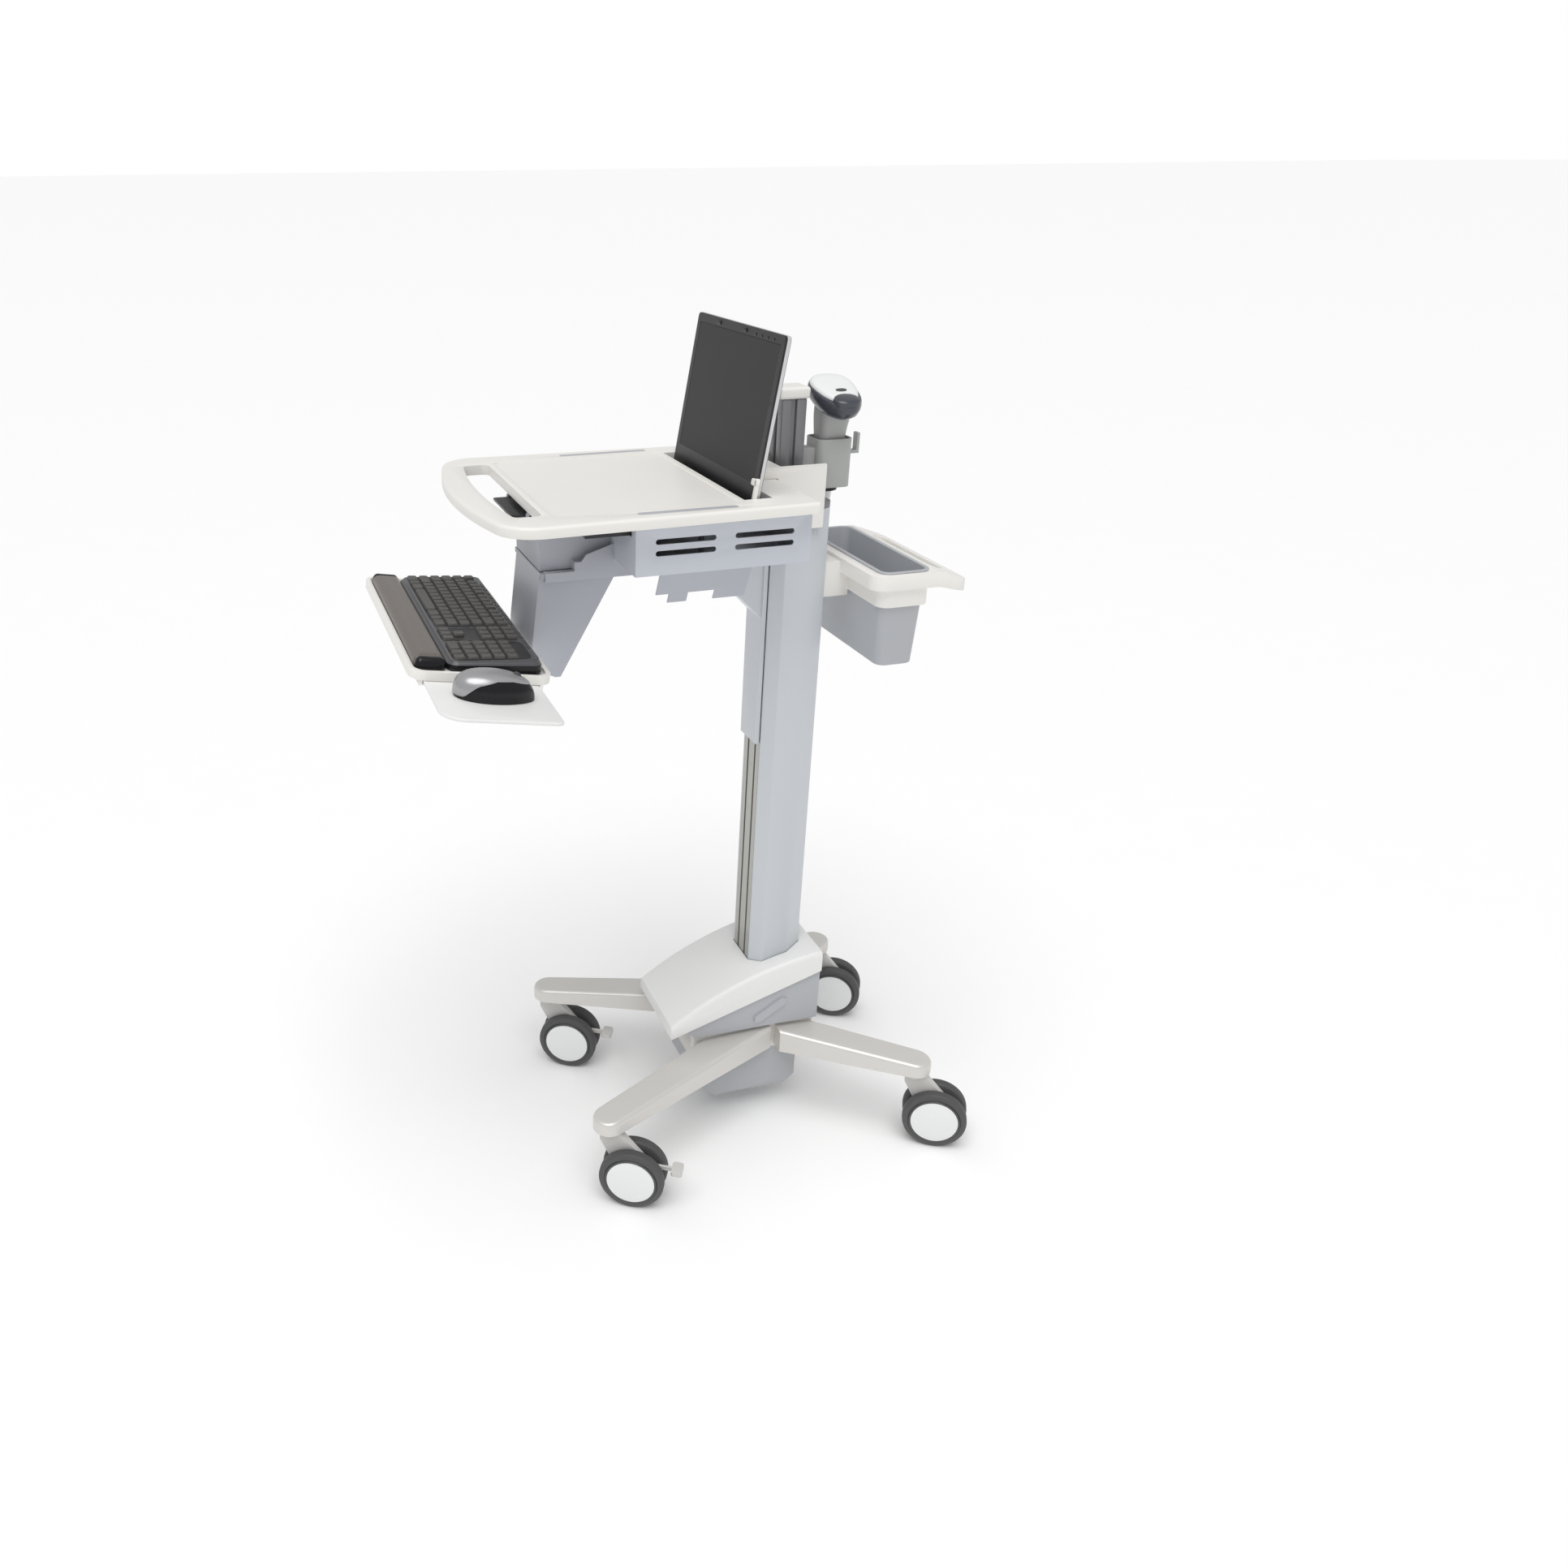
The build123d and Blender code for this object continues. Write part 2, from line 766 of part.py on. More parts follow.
with BuildPart() as base_grips:
    for hand in (1, -1):
        with BuildSketch(side(hand * (hood_half_width - skirt_inset))):
            with Locations((grip_centre_y, grip_centre_z)):
                SlotOverall(grip_length, grip_width, rotation=grip_slope)
        extrude(amount=hand * grip_depth)
write(base_grips, "base_grips")

# ================================================================ column
with BuildPart() as column:
    with BuildSketch(level(hub_top)):
        with BuildLine():
            Polyline(*column_outline, close=True)
        make_face()
        offset(amount=-column_wall, kind=Kind.INTERSECTION, mode=Mode.SUBTRACT)
        with Locations((0, column_front_y)):
            Rectangle(
                rail_half_width * 2, rail_depth, align=(Align.CENTER, Align.MIN), mode=Mode.SUBTRACT
            )
    extrude(amount=column_top - hub_top)
write(column, "column")

with BuildPart() as column_rail:
    with BuildSketch(level(hub_top)):
        with Locations((0, column_front_y)):
            Rectangle(rail_half_width * 2, rail_depth, align=(Align.CENTER, Align.MIN))
        with Locations((-slot_spacing / 2, column_front_y), (slot_spacing / 2, column_front_y)):
            Rectangle(slot_width, slot_depth, align=(Align.CENTER, Align.MIN), mode=Mode.SUBTRACT)
    extrude(amount=column_top - hub_top)
write(column_rail, "column_rail")

cap_top = column_top + column_cap_height
tower_middle_y = (tower_front_y + tower_rear_y) / 2
tower_depth = tower_rear_y - tower_front_y
with BuildPart() as accessory_tower:
    with BuildSketch(level(cap_top)):
        with Locations((0, tower_middle_y)):
            Rectangle(tower_half_width * 2, tower_depth)
            with Locations((0, -tower_depth / 2), (0, tower_depth / 2)):
                Rectangle(tower_slot_width, tower_slot_depth * 2, mode=Mode.SUBTRACT)
            with Locations((-tower_half_width, 0), (tower_half_width, 0)):
                Rectangle(tower_slot_depth * 2, tower_slot_width, mode=Mode.SUBTRACT)
    extrude(amount=tower_top - cap_top)
    with BuildSketch(level(column_top)):
        with BuildLine():
            Polyline(*column_outline, close=True)
        make_face()
        with Locations((-slot_spacing / 2, column_front_y), (slot_spacing / 2, column_front_y)):
            Rectangle(slot_width, slot_depth, align=(Align.CENTER, Align.MIN), mode=Mode.SUBTRACT)
    extrude(amount=column_cap_height)
write(accessory_tower, "accessory_tower")

with BuildPart() as tower_cap:
    with BuildSketch(level(tower_top)):
        with Locations((0, tower_middle_y)):
            RectangleRounded(
                tower_half_width * 2 + tower_cap_overhang,
                tower_depth + tower_cap_overhang * 2,
                tower_cap_overhang,
            )
    extrude(amount=tower_cap_height)
    fillet(tower_cap.faces().sort_by(Axis.Z)[-1].edges(), tower_cap_overhang)
write(tower_cap, "tower_cap")

# ================================================================ lift carriage and head
bay_rear_y = column_front_y - cover_gap - cover_thickness
worktop_bottom = worktop_top - worktop_thickness
with BuildPart() as lift_carriage:
    with BuildSketch(level(cover_bottom)):
        with Locations((0, column_front_y - cover_gap)):
            Rectangle(cover_half_width * 2, cover_thickness, align=(Align.CENTER, Align.MAX))
        for x in (-slot_spacing / 2, slot_spacing / 2):
            with Locations((x, column_front_y - cover_gap)):
                Rectangle(
                    slot_width - key_side_clearance * 2,
                    cover_gap + slot_depth - key_end_clearance,
                    align=(Align.CENTER, Align.MIN),
                )
    extrude(amount=worktop_bottom - cover_bottom)
    with BuildSketch(side(0)):
        with BuildLine():
            Polyline(
                (gusset_front_y, bay_bottom),
                (gusset_front_y, gusset_knee),
                (bay_rear_y, gusset_bottom),
                (bay_rear_y, bay_bottom),
                close=True,
            )
        make_face()
    extrude(amount=gusset_half_width, both=True)
    with BuildSketch(side(0)):
        with BuildLine():
            Polyline(
                (gusset_front_y + gusset_wall, bay_bottom),
                (gusset_front_y + gusset_wall, gusset_knee + gusset_wall),
                (bay_rear_y, gusset_bottom + gusset_wall * 2),
                (bay_rear_y, bay_bottom),
                close=True,
            )
        make_face()
    extrude(amount=gusset_half_width - gusset_wall, both=True, mode=Mode.SUBTRACT)
write(lift_carriage, "lift_carriage")

bay_depth = bay_rear_y - bay_front_y
bay_middle_y = (bay_rear_y + bay_front_y) / 2
with BuildPart() as laptop_bay:
    with BuildSketch(level(bay_bottom)):
        with Locations((0, bay_middle_y)):
            Rectangle(bay_half_width * 2, bay_depth)
    extrude(amount=worktop_bottom - bay_bottom)
    with BuildSketch(level(bay_bottom + bay_wall)):
        with Locations((0, bay_middle_y)):
            Rectangle((bay_half_width - bay_wall) * 2, bay_depth - bay_wall * 2)
    extrude(amount=worktop_bottom - bay_bottom, mode=Mode.SUBTRACT)
    with BuildSketch(facing(bay_front_y)):
        with Locations((0, laptop_base_bottom - bay_door_gap)):
            Rectangle(bay_door_half * 2, worktop_bottom, align=(Align.CENTER, Align.MIN))
    extrude(amount=-bay_wall * 2, mode=Mode.SUBTRACT)
    with BuildSketch(side(0)):
        for centre in (vent_front_centre_y, vent_rear_centre_y):
            with Locations((centre, vent_upper_z), (centre, vent_lower_z)):
                SlotOverall(vent_length, vent_height)
    extrude(amount=bay_half_width + bay_wall, both=True, mode=Mode.SUBTRACT)
    with BuildSketch(level(bay_bottom)):
        for y in (laptop_post_front_y, laptop_post_rear_y):
            with Locations((-laptop_post_x, y), (laptop_post_x, y)):
                Rectangle(laptop_post_size, laptop_post_size)
    extrude(amount=laptop_base_bottom - bay_bottom)
write(laptop_bay, "laptop_bay")

slot_front_y = handle_slot_rear_y - handle_slot_depth
with BuildPart() as worktop:
    with BuildSketch(level(worktop_bottom)) as worktop_plan:
        with BuildLine():
            rear = Line((-worktop_rear_half, bay_rear_y), (worktop_rear_half, bay_rear_y))
            right = Line(rear @ 1, (worktop_front_half, worktop_corner_y))
            left = Line(rear @ 0, (-worktop_front_half, worktop_corner_y))
            ThreePointArc(right @ 1, (0, worktop_front_y), left @ 1)
        make_face()
        fillet(worktop_plan.vertices().group_by(Axis.Y)[0], worktop_corner_radius)
        fillet(worktop_plan.vertices().group_by(Axis.Y)[-1], worktop_rear_radius)
    extrude(amount=worktop_thickness)
    fillet(worktop.faces().sort_by(Axis.Z)[-1].edges(), worktop_edge_radius)
    with BuildSketch(level(worktop_bottom)) as finger_slot:
        with BuildLine():
            slot_rear = Line(
                (-handle_slot_half, handle_slot_rear_y), (handle_slot_half, handle_slot_rear_y)
            )
            slot_right = Line(slot_rear @ 1, (handle_slot_half, slot_front_y))
            slot_left = Line(slot_rear @ 0, (-handle_slot_half, slot_front_y))
            ThreePointArc(slot_right @ 1, (0, slot_front_y - handle_slot_bow), slot_left @ 1)
        make_face()
        fillet(finger_slot.vertices(), handle_slot_corner)
    extrude(amount=worktop_thickness, mode=Mode.SUBTRACT)
    with BuildSketch(level(worktop_bottom)):
        with Locations((0, (lid_slot_front_y + lid_slot_rear_y) / 2)):
            Rectangle(lid_slot_half * 2, lid_slot_rear_y - lid_slot_front_y)
    extrude(amount=worktop_thickness, mode=Mode.SUBTRACT)
    with BuildSketch(level(worktop_top - inlay_thickness)):
        with Locations((-inlay_x, inlay_centre_y), (inlay_x, inlay_centre_y)):
            SlotOverall(inlay_length, inlay_width, rotation=90)
    extrude(amount=inlay_thickness, mode=Mode.SUBTRACT)
    with BuildSketch(level(worktop_top - work_recess_depth)):
        with Locations((0, (work_recess_front_y + work_recess_rear_y) / 2)):
            RectangleRounded(
                work_recess_half * 2, work_recess_rear_y - work_recess_front_y, work_recess_corner
            )
    extrude(amount=work_recess_depth, mode=Mode.SUBTRACT)
write(worktop, "worktop")

with BuildPart() as worktop_inlays:
    with BuildSketch(level(worktop_top - inlay_thickness)):
        with Locations((-inlay_x, inlay_centre_y), (inlay_x, inlay_centre_y)):
            SlotOverall(inlay_length, inlay_width, rotation=90)
    extrude(amount=inlay_thickness)
write(worktop_inlays, "worktop_inlays")

shroud_inner = column_half_width + shroud_gap
shroud_outer = shroud_inner + shroud_wall
with BuildPart() as head_shroud:
    with BuildSketch(level(shroud_bottom)):
        for hand in (-1, 1):
            with Locations((hand * (shroud_inner + shroud_wall / 2), bay_rear_y)):
                Rectangle(
                    shroud_wall, shroud_rear_y - bay_rear_y, align=(Align.CENTER, Align.MIN)
                )
    extrude(amount=shroud_top - shroud_bottom)
    with BuildSketch(level(worktop_top)):
        with Locations((0, shroud_front_y)):
            Rectangle(
                shroud_outer * 2, bay_rear_y + shroud_wall - shroud_front_y, align=(Align.CENTER, Align.MIN)
            )
    extrude(amount=shroud_top - worktop_top)
    fillet(head_shroud.faces().sort_by(Axis.Z)[-1].outer_wire().edges(), shroud_wall / 3)
write(head_shroud, "head_shroud")

with BuildPart() as cable_wings:
    for hand in (-1, 1):
        with BuildSketch(facing(wing_front_y)):
            with BuildLine():
                Polyline(
                    (hand * wing_top_x, bay_bottom),
                    (hand * wing_bottom_x, wing_bottom),
                    (hand * (wing_bottom_x - wing_thickness), wing_bottom),
                    (hand * (wing_top_x - wing_thickness), bay_bottom),
                    close=True,
                )
            make_face()
        extrude(amount=wing_front_y - wing_rear_y)
    with BuildSketch(side(0)):
        with Locations(((wing_front_y + wing_rear_y) / 2, wing_bottom)):
            Rectangle(wing_notch_width, wing_notch_height * 2)
        with Locations((wing_front_y, wing_bottom)):
            Rectangle(wing_notch_width, wing_notch_height * 2)
    extrude(amount=wing_top_x, both=True, mode=Mode.SUBTRACT)
write(cable_wings, "cable_wings")

# ================================================================ keyboard slide housing
runner_inner = housing_half_width - runner_width
runner_bottom = housing_bottom - runner_height
with BuildPart() as slide_housing:
    with BuildSketch(level(housing_bottom)):
        with Locations((0, cheek_front_y)):
            Rectangle(
                housing_half_width * 2, housing_rear_y - cheek_front_y, align=(Align.CENTER, Align.MIN)
            )
    extrude(amount=bay_bottom - housing_bottom)
    with BuildSketch(level(housing_bottom)):
        with Locations((0, cheek_front_y)):
            Rectangle(
                housing_recess_half * 2,
                housing_rear_y - cheek_front_y - housing_wall,
                align=(Align.CENTER, Align.MIN),
            )
    extrude(amount=bay_bottom - housing_bottom - housing_roof, mode=Mode.SUBTRACT)
    with BuildSketch(level(housing_bottom)):
        with Locations((0, housing_front_y)):
            Rectangle(
                nose_half_width * 2, bay_front_y - housing_front_y, align=(Align.CENTER, Align.MIN)
            )
    extrude(amount=nose_top - housing_bottom)
    with BuildSketch(level(housing_bottom + housing_wall)):
        with Locations((0, housing_front_y + housing_wall)):
            Rectangle(
                (nose_half_width - housing_wall) * 2,
                bay_front_y - housing_front_y,
                align=(Align.CENTER, Align.MIN),
            )
    extrude(amount=nose_top - housing_bottom, mode=Mode.SUBTRACT)
    for hand in (-1, 1):
        with BuildSketch(side(hand * housing_half_width)):
            with BuildLine():
                Polyline(
                    (cheek_front_y, housing_bottom),
                    (cheek_knee_y, cheek_knee_z),
                    (bay_front_y, cheek_rear_z),
                    (bay_front_y, housing_bottom),
                    close=True,
                )
            make_face()
        extrude(amount=-hand * housing_wall)
        with BuildSketch(facing(runner_front_y)):
            with Locations((hand * (runner_inner + runner_width / 2), runner_bottom)):
                Rectangle(runner_width, runner_height, align=(Align.CENTER, Align.MIN))
            with Locations((hand * (runner_inner + runner_groove_depth / 2), runner_bottom + runner_lip)):
                Rectangle(
                    runner_groove_depth,
                    runner_height - runner_lip * 2,
                    align=(Align.CENTER, Align.MIN),
                    mode=Mode.SUBTRACT,
                )
        extrude(amount=runner_front_y - housing_rear_y)
        with BuildSketch(side(hand * (lever_half_width + lug_gap))):
            with Locations((lever_pin_y, lever_pin_z)):
                Circle(lug_radius)
            with BuildLine():
                Polyline(
                    (lever_pin_y - lug_radius, lever_pin_z),
                    (lever_pin_y + lug_radius, lever_pin_z),
                    (housing_front_y + housing_wall, nose_top - lug_radius),
                    (housing_front_y + housing_wall, nose_top - lug_root_drop),
                    (housing_front_y, nose_top - lug_root_drop),
                    (lever_pin_y - lug_radius, nose_top - lug_radius),
                    close=True,
                )
            make_face()
            with Locations((lever_pin_y, lever_pin_z)):
                Circle(lever_pin_diameter / 2 + lever_pin_clearance, mode=Mode.SUBTRACT)
        extrude(amount=hand * lug_width)
write(slide_housing, "slide_housing")

with BuildPart() as lift_lever:
    with BuildSketch(side(0)):
        with Locations((lever_pin_y, lever_pin_z)):
            Circle(lever_pin_diameter / 2)
    extrude(amount=lever_half_width + lug_gap + lug_width, both=True)
    with BuildSketch(level(lever_pin_z - lever_thickness / 2)):
        with Locations((0, lever_pin_y)):
            Rectangle(lever_half_width * 2, lever_reach, align=(Align.CENTER, Align.MAX))
    extrude(amount=lever_thickness)
write(lift_lever, "lift_lever")

# ================================================================ keyboard arm
flange_top = housing_bottom - runner_lip - runner_clearance
flange_bottom = runner_bottom + runner_lip + runner_clearance
flange_half = runner_inner + runner_groove_depth - runner_clearance
with BuildPart() as keyboard_arm:
    with BuildSketch(side(0)):
        with BuildLine():
            Polyline(
                (housing_front_y, flange_top),
                (arm_rear_y, flange_top),
                (arm_tip_y, arm_tip_z),
                (arm_tip_y - pivot_barrel_diameter / 2, arm_tip_z),
                (pivot_y - pivot_pin_diameter, pivot_z - pivot_pin_diameter),
                (pivot_y - pivot_pin_diameter, pivot_z + pivot_pin_diameter / 2),
                (arm_foot_y, pivot_z + pivot_pin_diameter / 2),
                (arm_foot_y, arm_foot_z),
                close=True,
            )
        make_face()
    extrude(amount=arm_half_width, both=True)
    with BuildSketch(side(0)):
        with BuildLine():
            Polyline(
                (housing_front_y + arm_sheet, flange_bottom),
                (arm_rear_y + arm_sheet, flange_bottom),
                (arm_rear_y + arm_sheet, arm_tip_z - arm_sheet),
                (pivot_y - pivot_pin_diameter * 2, arm_tip_z - arm_sheet),
                (pivot_y - pivot_pin_diameter * 2, pivot_z + pivot_pin_diameter / 2),
                (arm_foot_y + arm_sheet, pivot_z + pivot_pin_diameter / 2),
                (arm_foot_y + arm_sheet, arm_foot_z),
                close=True,
            )
        make_face()
    extrude(amount=arm_half_width - arm_sheet, both=True, mode=Mode.SUBTRACT)
    with BuildSketch(level(flange_bottom)):
        with Locations((0, housing_front_y)):
            Rectangle(flange_half * 2, arm_rear_y - housing_front_y, align=(Align.CENTER, Align.MIN))
    extrude(amount=flange_top - flange_bottom)
write(keyboard_arm, "keyboard_arm")

with BuildPart() as tray_pivot_pin:
    with BuildSketch(side(0)):
        with Locations((pivot_y, pivot_z)):
            Circle(pivot_pin_diameter / 2)
    extrude(amount=arm_half_width - arm_sheet, both=True)
write(tray_pivot_pin, "tray_pivot_pin")

# ================================================================ keyboard tray and what is on it


def tray(lift):
    """Plane in the tray's top face, raised by a lift, its origin on the rear edge."""
    return leaned(tray_rear_y, tray_rear_z, tray_tilt, lift)


def tray_outline(inset):
    """Corners of the tray in its own plane."""
    return [
        (-tray_rear_half + inset, -inset),
        (tray_rear_half - inset, -inset),
        (tray_front_half - inset, inset - tray_depth),
        (inset - tray_front_half, inset - tray_depth),
    ]


with BuildPart() as keyboard_tray:
    with BuildSketch(tray(-tray_thickness)) as tray_plan:
        with BuildLine():
            Polyline(*tray_outline(0), close=True)
        make_face()
        fillet(tray_plan.vertices(), tray_corner_radius)
    extrude(amount=tray_thickness + tray_lip_height)
    with BuildSketch(tray(0)) as tray_well:
        with BuildLine():
            Polyline(*tray_outline(tray_lip_width), close=True)
        make_face()
        fillet(tray_well.vertices(), tray_corner_radius - tray_lip_width)
    extrude(amount=tray_lip_height, mode=Mode.SUBTRACT)
    guide_drop = mouse_shelf_thickness + mouse_shelf_gap * 2 + guide_lip_thickness
    for near_rear in (True, False):
        start = -mouse_shelf_inset if near_rear else mouse_shelf_inset - tray_depth
        turn = Align.MAX if near_rear else Align.MIN
        with BuildSketch(tray(-tray_thickness)):
            with Locations((guide_start_x, start)):
                Rectangle(tray_rear_half - guide_start_x, guide_width, align=(Align.MIN, turn))
        extrude(amount=-guide_drop)
        with BuildSketch(tray(-tray_thickness - guide_drop + guide_lip_thickness)):
            with Locations((guide_start_x, start)):
                Rectangle(
                    tray_rear_half - guide_start_x, guide_width + guide_lip, align=(Align.MIN, turn)
                )
        extrude(amount=-guide_lip_thickness)
    with BuildSketch(side(0)):
        with Locations((pivot_y, pivot_z)):
            Circle(pivot_barrel_diameter / 2)
        with Locations((pivot_y, pivot_z)):
            Rectangle(
                pivot_barrel_diameter / 2, tray_rear_z - pivot_z - tray_thickness / 2,
                align=(Align.CENTER, Align.MIN),
            )
    extrude(amount=pivot_barrel_half, both=True)
    with BuildSketch(side(0)):
        with Locations((pivot_y, pivot_z)):
            Circle(pivot_pin_diameter / 2 + pivot_clearance)
    extrude(amount=pivot_barrel_half, both=True, mode=Mode.SUBTRACT)
write(keyboard_tray, "keyboard_tray")

shelf_lift = -tray_thickness - mouse_shelf_gap
shelf_depth = tray_depth - (mouse_shelf_inset + guide_width + mouse_shelf_side_gap) * 2
with BuildPart() as mouse_shelf:
    with BuildSketch(tray(shelf_lift)):
        with Locations(((mouse_shelf_inner_x + mouse_shelf_outer_x) / 2, -tray_depth / 2)):
            Rectangle(mouse_shelf_outer_x - mouse_shelf_inner_x, shelf_depth)
    extrude(amount=-mouse_shelf_thickness)
    shelf_ends = mouse_shelf.edges().filter_by(
        lambda edge: abs(edge.length - mouse_shelf_thickness) < edge_length_tolerance
    )
    shelf_front = shelf_ends.group_by(Axis.X)[-1].sort_by(Axis.Y)
    fillet(shelf_front[0], mouse_shelf_corner)
    shelf_rear = mouse_shelf.edges().filter_by(
        lambda edge: abs(edge.length - mouse_shelf_thickness) < edge_length_tolerance
    )
    fillet(shelf_rear.group_by(Axis.X)[-1].sort_by(Axis.Y)[-1], mouse_shelf_rear_corner)
write(mouse_shelf, "mouse_shelf")

palm_front = -tray_depth + tray_lip_width + tray_part_gap
with BuildPart() as palm_rest:
    with BuildSketch(tray(0)):
        with Locations((0, palm_front)):
            RectangleRounded(
                palm_half_width * 2, palm_depth, palm_radius, align=(Align.CENTER, Align.MIN)
            )
    extrude(amount=palm_height)
    fillet(palm_rest.faces().sort_by(Axis.Z)[-1].edges(), palm_edge_radius)
write(palm_rest, "palm_rest")

case_front = palm_front + palm_depth + keyboard_gap
case_rear = case_front + keyboard_depth
key_slope = (keyboard_rear_height - keyboard_front_height) / keyboard_depth


def tray_side(offset):
    """Plane square to the tray's width, drawn in (depth on the tray, height over it)."""
    flat = tray(0)
    return Plane(
        origin=flat.origin + flat.x_dir * offset, x_dir=flat.y_dir, z_dir=flat.x_dir
    )


with BuildPart() as keyboard_case:
    with BuildSketch(tray_side(-keyboard_half_width)):
        with BuildLine():
            Polyline(
                (case_front, 0),
                (case_rear, 0),
                (case_rear, keyboard_rear_height),
                (case_front, keyboard_front_height),
                close=True,
            )
        make_face()
    extrude(amount=keyboard_half_width * 2)
write(keyboard_case, "keyboard_case")

field_width = (main_key_columns + cluster_key_columns + numpad_key_columns) * key_pitch + cluster_gap * 2
flat = tray(0)
key_plane = Plane(
    origin=flat.origin + flat.y_dir * case_front + flat.z_dir * keyboard_front_height,
    x_dir=flat.x_dir,
    z_dir=flat.z_dir - flat.y_dir * key_slope,
)
first_row = key_field_front_margin + key_pitch / 2
with BuildPart() as keycaps:
    with BuildSketch(key_plane):
        start = -field_width / 2
        for columns in (main_key_columns, cluster_key_columns, numpad_key_columns):
            middle = start + columns * key_pitch / 2
            with Locations((middle, first_row + (key_rows - 1) * key_pitch / 2)):
                with GridLocations(key_pitch, key_pitch, columns, key_rows):
                    Rectangle(key_size, key_size)
            start = start + columns * key_pitch + cluster_gap
    extrude(amount=key_height)
write(keycaps, "keycaps")

shelf_top = tray(shelf_lift)
with BuildPart() as mouse:
    with BuildSketch(shelf_top):
        with Locations((mouse_x, -mouse_from_rear)):
            Ellipse(mouse_width / 2, mouse_length / 2)
    extrude(amount=mouse_height)
    fillet(mouse.edges().sort_by(Axis.Z)[-1], mouse_top_radius)
write(mouse, "mouse")

# ================================================================ laptop
base_rear_y = laptop_hinge_y - laptop_base_setback
with BuildPart() as laptop_base:
    with BuildSketch(level(laptop_base_bottom)):
        with Locations((0, base_rear_y)):
            Rectangle(
                laptop_base_half_width * 2, laptop_base_depth, align=(Align.CENTER, Align.MAX)
            )
    extrude(amount=laptop_base_height)
    for hand in (-1, 1):
        with BuildSketch(side(hand * lid_ear_centre)):
            with Locations((laptop_hinge_y, laptop_hinge_z)):
                Circle(laptop_pin_diameter)
            with Locations((base_rear_y, laptop_hinge_z)):
                Rectangle(
                    laptop_base_setback, laptop_pin_diameter * 2, align=(Align.MIN, Align.CENTER)
                )
            with Locations((laptop_hinge_y, laptop_hinge_z)):
                Circle(laptop_pin_diameter / 2 + laptop_pin_clearance, mode=Mode.SUBTRACT)
        extrude(amount=lid_ear_width / 2, both=True)
write(laptop_base, "laptop_base")


def lid_plane(lift):
    """Plane in the lid's front face, x across, y up the lid from the hinge."""
    lean = radians(laptop_lean)
    front = Plane(
        origin=(column_x, column_y + laptop_hinge_y, laptop_hinge_z),
        x_dir=(1, 0, 0),
        z_dir=(0, -cos(lean), sin(lean)),
    )
    return front.offset(lift)


with BuildPart() as laptop_lid:
    with BuildSketch(lid_plane(0)):
        with Locations((0, lid_start)):
            RectangleRounded(
                laptop_half_width * 2,
                lid_height - lid_start,
                lid_corner_radius,
                align=(Align.CENTER, Align.MIN),
            )
    extrude(amount=-lid_thickness)
    with BuildSketch(lid_plane(0)):
        with Locations((0, (lid_height + screen_bottom_margin) / 2)):
            Rectangle(
                (laptop_half_width - screen_margin) * 2,
                lid_height - screen_bottom_margin - screen_margin * 2,
            )
    extrude(amount=-screen_thickness, mode=Mode.SUBTRACT)
    for hand in (-1, 1):
        for step in (-1, 1):
            offset_x = hand * lid_ear_centre + step * (
                lid_ear_width / 2 + lid_ear_gap + lid_knuckle_width / 2
            )
            with BuildSketch(side(offset_x)):
                with Locations((laptop_hinge_y, laptop_hinge_z)):
                    Circle(laptop_pin_diameter / 2 + laptop_ear_wall)
            extrude(amount=lid_knuckle_width / 2, both=True)
            with BuildSketch(lid_plane(0)):
                with Locations((offset_x, 0)):
                    Rectangle(
                        lid_knuckle_width, lid_start + lid_corner_radius, align=(Align.CENTER, Align.MIN)
                    )
            extrude(amount=-laptop_pin_diameter / 2)
        with BuildSketch(side(hand * lid_ear_centre)):
            with Locations((laptop_hinge_y, laptop_hinge_z)):
                Circle(laptop_pin_diameter / 2)
        extrude(amount=lid_ear_width / 2 + lid_ear_gap + lid_knuckle_width, both=True)
write(laptop_lid, "laptop_lid")

# ================================================================ scanner and holder
grip_bottom = cup_bottom + cup_floor
with BuildPart() as scanner_holder:
    with BuildSketch(level(cup_bottom)):
        with Locations((0, scanner_y)):
            RectangleRounded(cup_half_x * 2, cup_half_y * 2, cup_corner)
    extrude(amount=cup_height)
    with BuildSketch(level(grip_bottom)):
        with Locations((0, scanner_y)):
            RectangleRounded(
                (cup_half_x - cup_wall) * 2, (cup_half_y - cup_wall) * 2, cup_corner - cup_wall
            )
    extrude(amount=cup_height, mode=Mode.SUBTRACT)
    with BuildSketch(level(holder_arm_bottom)):
        with Locations((0, tower_rear_y)):
            Rectangle(
                holder_arm_half * 2,
                scanner_y - cup_half_y + cup_wall / 2 - tower_rear_y,
                align=(Align.CENTER, Align.MIN),
            )
    extrude(amount=holder_arm_top - holder_arm_bottom)
    hook_start = scanner_y + cup_half_y
    with BuildSketch(side(0)):
        with BuildLine():
            Polyline(
                (hook_start - cup_wall / 2, hook_bottom),
                (hook_start + hook_reach, hook_bottom),
                (hook_start + hook_reach, hook_top),
                (hook_start + hook_reach - hook_thickness, hook_top),
                (hook_start + hook_reach - hook_thickness, hook_bottom + hook_thickness),
                (hook_start - cup_wall / 2, hook_bottom + hook_thickness),
                close=True,
            )
        make_face()
    extrude(amount=hook_half_width, both=True)
write(scanner_holder, "scanner_holder")

